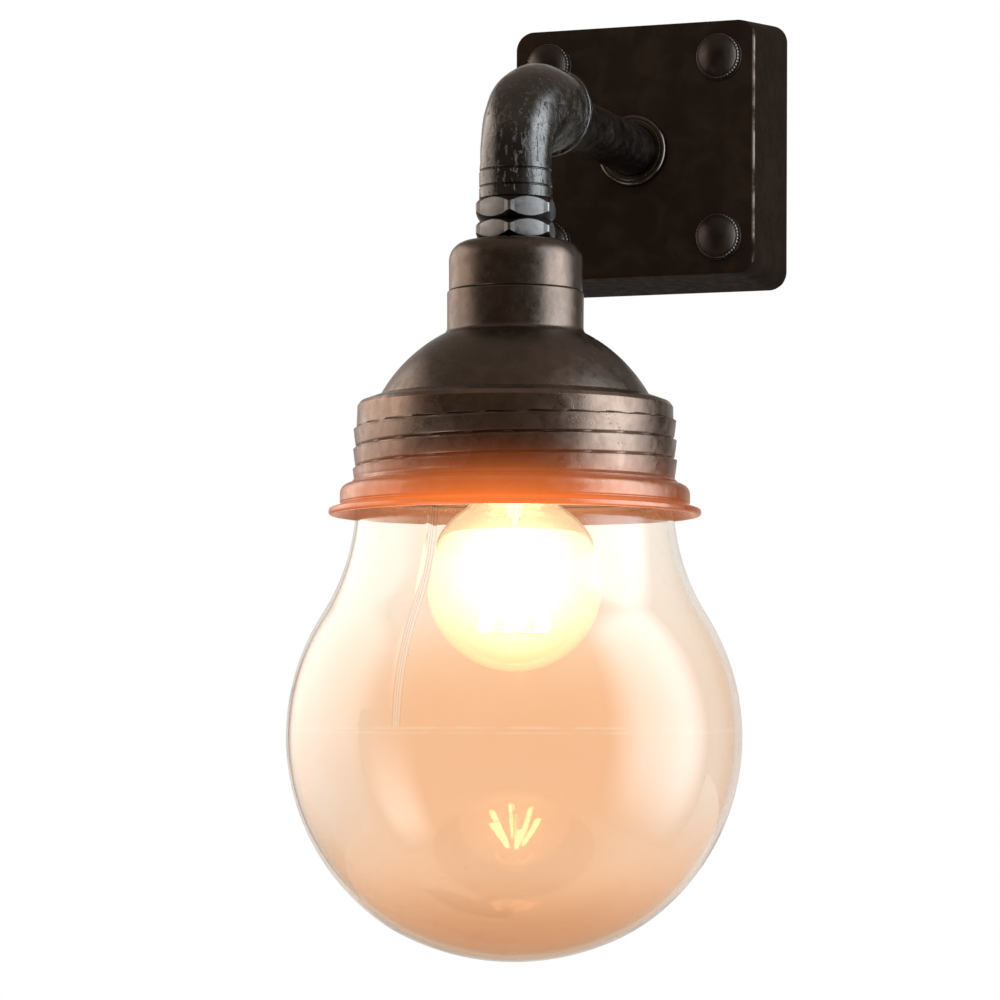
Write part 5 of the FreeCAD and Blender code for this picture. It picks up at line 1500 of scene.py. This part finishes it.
@dataclass(frozen=True)
class SoftPanel:
    """Glowing panel with soft edges, seen only in reflections, so that it shapes the highlights.

    Azimuth is in degrees to the right of the camera's direction, seen from the light fitting.
    """

    name: str
    azimuth: float
    distance: float
    low: float
    high: float
    width: float
    radiance: float
    colour: Colour = (1.0, 1.0, 1.0)
    side_blur: float = 0.3
    low_blur: float = 0.35
    high_blur: float = 0.2

    def build(self) -> None:
        """Stand the panel upright, facing the lamp's axis."""
        turn = TOWARDS_CAMERA + math.radians(self.azimuth)
        middle = np.array([math.cos(turn), math.sin(turn)]) * self.distance + np.array([0, LAMP_Y * MM])
        side = np.array([-math.sin(turn), math.cos(turn)]) * self.width / 2
        left, right = middle - side, middle + side
        mesh = bpy.data.meshes.new(self.name)
        mesh.from_pydata([(*left, self.low), (*right, self.low), (*right, self.high), (*left, self.high)], [],
                         [(3, 2, 1, 0)])
        mesh.uv_layers.new(name="UVMap").uv.foreach_set("vector", [0, 1, 1, 1, 1, 0, 0, 0])
        mesh.materials.append(self.material())
        panel = bpy.data.objects.new(self.name, mesh)
        bpy.context.scene.collection.objects.link(panel)
        for ray in ("camera", "transmission", "diffuse", "shadow", "volume_scatter"):
            setattr(panel, f"visible_{ray}", False)

    def material(self) -> bpy.types.Material:
        """Emission that fades towards the panel's edges, in its own UV coordinates.

        Returns:
            The material.
        """
        g = Graph.material(self.name)
        split = g.node("ShaderNodeSeparateXYZ")
        g.feed(split.inputs[0], g.node("ShaderNodeUVMap", uv_map="UVMap").outputs["UV"])
        across, up = split.outputs["X"], split.outputs["Y"]
        fade = g.ramp(across, 0.0, self.side_blur)
        fade = g.times(fade, g.ramp(across, 1.0 - self.side_blur, 1.0, 1.0, 0.0))
        fade = g.times(fade, g.ramp(up, 0.0, self.low_blur))
        fade = g.times(fade, g.ramp(up, 1.0 - self.high_blur, 1.0, 1.0, 0.0))
        fade = g.times(fade, self.radiance)
        return g.finish(g.emission(self.colour, fade))


@dataclass
class Studio:
    """Camera at the photograph's angle, soft lamps, and a pale floor and background."""

    distance: float = 1.747
    height: float = -0.291
    focal_pixels: float = 4062.0
    principal: tuple[float, float] = (514.1, 773.5)
    roll: float = 0.17
    floor: float = -1.0
    floor_half: float = 3.0
    fill_size: tuple[float, float] = (2.4, 2.0)
    fill_watts: float = 42.0
    fill_distance: float = 2.2
    fill_height: float = 0.7
    front: Colour = (0.16, 0.12, 0.085)
    above: Colour = (0.42, 0.34, 0.28)
    behind: Colour = (0.78, 0.75, 0.72)

    def camera(self) -> None:
        """Level camera; the shift puts its principal point where the photograph has it."""
        azimuth = math.radians(CAMERA_AZIMUTH)
        data = bpy.data.cameras.new("camera")
        data.sensor_width = 36.0
        data.lens = self.focal_pixels / 1000.0 * 36.0
        data.shift_x = (500.0 - self.principal[0]) / 1000.0
        data.shift_y = (self.principal[1] - 500.0) / 1000.0
        data.clip_end = 50.0
        camera = bpy.data.objects.new("camera", data)
        place = Vector((
            self.distance * math.sin(azimuth), LAMP_Y * MM - self.distance * math.cos(azimuth), self.height,
        ))
        camera.matrix_world = (
            Matrix.Translation(place)
            @ Matrix.Rotation(azimuth, 4, "Z") @ Matrix.Rotation(math.pi / 2, 4, "X")
            @ Matrix.Rotation(math.radians(self.roll), 4, "Z")
        )
        bpy.context.scene.collection.objects.link(camera)
        bpy.context.scene.camera = camera

    def fill(self) -> None:
        """Broad soft lamp from the front for matt surfaces, left out of reflections."""
        data = bpy.data.lights.new("front_fill", "AREA")
        data.shape = "RECTANGLE"
        data.size, data.size_y = self.fill_size
        data.energy = self.fill_watts
        data.color = (1.0, 0.97, 0.94)
        lamp = bpy.data.objects.new("front_fill", data)
        turn, far = TOWARDS_CAMERA - math.radians(12.0), self.fill_distance
        lamp.location = (far * math.cos(turn), far * math.sin(turn) + LAMP_Y * MM, self.fill_height)
        back = lamp.location - Vector((0, LAMP_Y * MM, -0.15))
        lamp.rotation_euler = back.to_track_quat("Z", "Y").to_euler()
        lamp.visible_camera = False
        lamp.visible_transmission = False
        lamp.visible_glossy = False
        bpy.context.scene.collection.objects.link(lamp)

    def lay_floor(self) -> None:
        """Pale floor well below the light."""
        mesh = bpy.data.meshes.new("floor")
        s, z = self.floor_half, self.floor
        mesh.from_pydata([(-s, -s, z), (s, -s, z), (s, s, z), (-s, s, z)], [], [(0, 1, 2, 3)])
        floor = bpy.data.objects.new("floor", mesh)
        bpy.context.scene.collection.objects.link(floor)
        mesh.materials.append(self.pale_floor())

    @staticmethod
    def pale_floor() -> bpy.types.Material:
        """Matt pale floor with a faint mottle: lifted towards white for the eye, white through glass.

        Returns:
            The material.
        """
        g = Graph.material("pale_floor")
        tone = g.mix(g.ramp(g.noise(9, 4, 0.6), 0.35, 0.7), (0.86, 0.85, 0.84), (0.83, 0.82, 0.81))
        matt = g.principled(
            Base_Color=tone, Roughness=g.ramp(g.noise(14, 3), 0.3, 0.7, 0.75, 0.85), Specular_IOR_Level=0.2,
            Normal=g.bump(g.noise(180, 3), 0.0003, 0.3),
            Emission_Color=(1.0, 0.98, 0.96), Emission_Strength=g.times(g.rays(Ray.CAMERA), 0.45),
        )
        mirrored = g.mix(g.ramp(g.axis("Y"), 0.4, 2.6), (0.26, 0.215, 0.18), (0.72, 0.70, 0.67))
        shader = g.shader_mix(g.rays(Ray.GLOSSY), matt, g.emission(mirrored, 1.0))
        shader = g.shader_mix(g.rays(Ray.TRANSMISSION), shader, g.emission((1.0, 1.0, 1.0), 1.0))
        return g.finish(shader)

    def world(self) -> None:
        """World that shows white to the eye, through glass and behind the light in reflections.

        Elsewhere it falls to a darker room towards the camera's side.
        """
        g = Graph(bpy.data.worlds.new("studio"))
        direction = g.node("ShaderNodeTexCoord").outputs["Generated"]
        away = g.node("ShaderNodeVectorMath", operation="DOT_PRODUCT")
        g.feed(away.inputs[0], direction)
        g.feed(away.inputs[1], (-math.cos(TOWARDS_CAMERA), -math.sin(TOWARDS_CAMERA), 0.0))
        split = g.node("ShaderNodeSeparateXYZ")
        g.feed(split.inputs[0], direction)
        room = g.mix(g.ramp(split.outputs["Z"], 0.25, 0.95), self.front, self.above)
        room = g.mix(g.ramp(away.outputs["Value"], 0.74, 1.0), room, self.behind)
        shown = g.mix(g.rays(Ray.CAMERA, Ray.TRANSMISSION), room, (1.0, 1.0, 1.0))
        background = g.node("ShaderNodeBackground")
        g.feed(background.inputs["Color"], shown)
        bpy.context.scene.world = g.finish(background.outputs[0])

    def build(self) -> None:
        """Set up the camera, the lamps and the surroundings."""
        self.camera()
        for panel in (
            SoftPanel("right_panel", azimuth=77, distance=0.85, low=-0.98, high=0.95, width=1.16,
                      radiance=6.2, colour=(0.91, 1.0, 1.09), side_blur=0.36),
            SoftPanel("left_panel", azimuth=-114, distance=1.20, low=-0.95, high=1.00, width=2.30,
                      radiance=3.2, colour=(1.0, 0.86, 0.77), low_blur=0.55),
            SoftPanel("low_left_panel", azimuth=-61, distance=0.62, low=-0.98, high=-0.16, width=0.38,
                      radiance=4.6, colour=(1.0, 0.98, 0.96), side_blur=0.42, low_blur=0.4, high_blur=0.6),
        ):
            panel.build()
        self.fill()
        self.lay_floor()
        self.world()
        bpy.context.scene.view_settings.view_transform = "Standard"
        LOG.info("studio: camera at %.1f degrees, floor at %.2f m", CAMERA_AZIMUTH, self.floor)


# ------------------------------------------------------------------ the whole light


@dataclass
class WallLight:
    """The light's sub-assemblies and finishes."""

    box: BackBox = field(default_factory=BackBox)
    arm: PipeArm = field(default_factory=PipeArm)
    head: LampHead = field(default_factory=LampHead)
    globe: GlassGlobe = field(default_factory=GlassGlobe)
    lamp: FilamentLamp = field(default_factory=FilamentLamp)

    def build(self) -> None:
        """Build and dress every sub-assembly, then the hidden nodes."""
        cast = CastMetal("blackened_casting", pit_share=0.15).material()
        polished = CastMetal("rubbed_casting", dark=(0.066, 0.063, 0.060), warm=(0.086, 0.082, 0.077),
                             rubbed=(0.30, 0.29, 0.28), rub_share=0.35, gloss=0.25, scars=0.55).material()
        # the screw collar carries the painted lamplight, an orange emission standing for the lamp's light on
        # it
        collar = CastMetal("rolled_ring", dark=(0.119, 0.083, 0.064), warm=(0.165, 0.119, 0.093), gloss=0.31,
                           rub_share=0.25, pit_share=0.3, painted_lamplight=1.0).material()
        turned = CastMetal("blackened_turning", dark=(0.040, 0.033, 0.028), warm=(0.075, 0.060, 0.049),
                           rubbed=(0.25, 0.23, 0.21), gloss=0.33, rub_share=0.25, pit_share=0.2).material()
        ring = CastMetal("turned_ring", dark=(0.085, 0.075, 0.065), warm=(0.11, 0.096, 0.082), gloss=0.22,
                         rub_share=0.2, pit_share=0.2).material()
        # the dome nuts' knurled rims are lightened as rubbed metal with a painted highlight
        knurled = CastMetal("knurled_nuts", dark=(0.036, 0.030, 0.025), warm=(0.050, 0.041, 0.034),
                            rubbed=(0.20, 0.185, 0.17), gloss=0.42, rub_share=0.1, pit_share=0.2,
                            rim_wear_and_sheen=0.9).material()
        # the lock nuts get painted shade on their faces and chamfers that look up or down
        worn = PlainMetal("worn_nuts", (0.185, 0.182, 0.178), (0.11, 0.098, 0.088), gloss=0.38,
                          painted_face_shade=0.95).material()
        self.box.build(CastPaint("satin_coat").material(), knurled)
        self.arm.build(polished, turned, ring, worn)
        self.head.build(cast, collar)
        # the globe gets painted highlight and shade along its seams, and a faint painted glow in its glass
        self.globe.build(BlownGlass("blown_glass", seam=0.8, painted_globe_glow=0.03).material())
        pale = (1.0, 0.97, 0.90)
        self.lamp.build(
            BlownGlass("lamp_glass", neck=pale, belly=pale, base=pale, glow_strength=0.62, waves=0.1,
                       painted_side_reflection=0.0).material(),
            PlainMetal("nickel", (0.72, 0.70, 0.66), (0.5, 0.47, 0.42), gloss=0.22).material(),
            Glow("filament_glow", (1.0, 0.80, 0.48), 210.0).material(),
        )
        self.dress_hidden()

    @staticmethod
    def dress_hidden() -> None:
        """Finish the nodes inside and behind the light."""
        zinc = PlainMetal("zinc_plate", (0.58, 0.58, 0.60), (0.42, 0.42, 0.42), gloss=0.36).material()
        brass = PlainMetal("bright_brass", (0.78, 0.57, 0.26), (0.50, 0.33, 0.13), gloss=0.25).material()
        rubber = MouldedStuff("black_rubber", (0.02, 0.02, 0.02), (0.035, 0.034, 0.033), gloss=0.7).material()
        steel = ("wall_bracket", "bracket_studs", "pipe_back_nut", "nipple", "nipple_washer", "nipple_nut",
                 "collar_screws", "earth_screw")
        for names, material in (
            (steel, zinc),
            (("holder_shell", "centre_contact", "terminal_screws"), brass),
            (("wall_gasket", "cable_grommet", "globe_seal"), rubber),
        ):
            for name in names:
                dress(name, material)
        for name, finish in (
            ("holder_body", MouldedStuff("white_ceramic", (0.86, 0.85, 0.81), (0.80, 0.79, 0.74), gloss=0.3)),
            ("holder_cap", CastMetal("holder_black")),
            ("terminal_block", MouldedStuff("cream_plastic", (0.80, 0.77, 0.68), (0.74, 0.70, 0.60))),
            ("live_lead", MouldedStuff("brown_skin", (0.16, 0.07, 0.035), (0.20, 0.09, 0.05), 0.4)),
            ("neutral_lead", MouldedStuff("blue_skin", (0.03, 0.10, 0.36), (0.05, 0.13, 0.42), 0.4)),
            ("earth_lead", MouldedStuff("green_skin", (0.10, 0.30, 0.05), (0.55, 0.50, 0.05), 0.4)),
            ("bulb_insulator", MouldedStuff("black_vitrite", (0.012, 0.012, 0.014), (0.02, 0.02, 0.02),
                                            gloss=0.15)),
            ("bulb_tip", PlainMetal("solder", (0.60, 0.60, 0.61), (0.45, 0.45, 0.45), gloss=0.35)),
            ("filament_supports", PlainMetal("support_wire", (0.50, 0.48, 0.45), (0.4, 0.38, 0.35))),
            ("bulb_stem", BlownGlass("stem_glass", belly=(1.0, 0.96, 0.90), glow_strength=0.3,
                                     painted_side_reflection=0.0)),
        ):
            dress(name, finish.material())


def main() -> None:
    """Build the light and the studio."""
    WallLight().build()
    Studio().build()


if __name__ == "__main__":
    main()
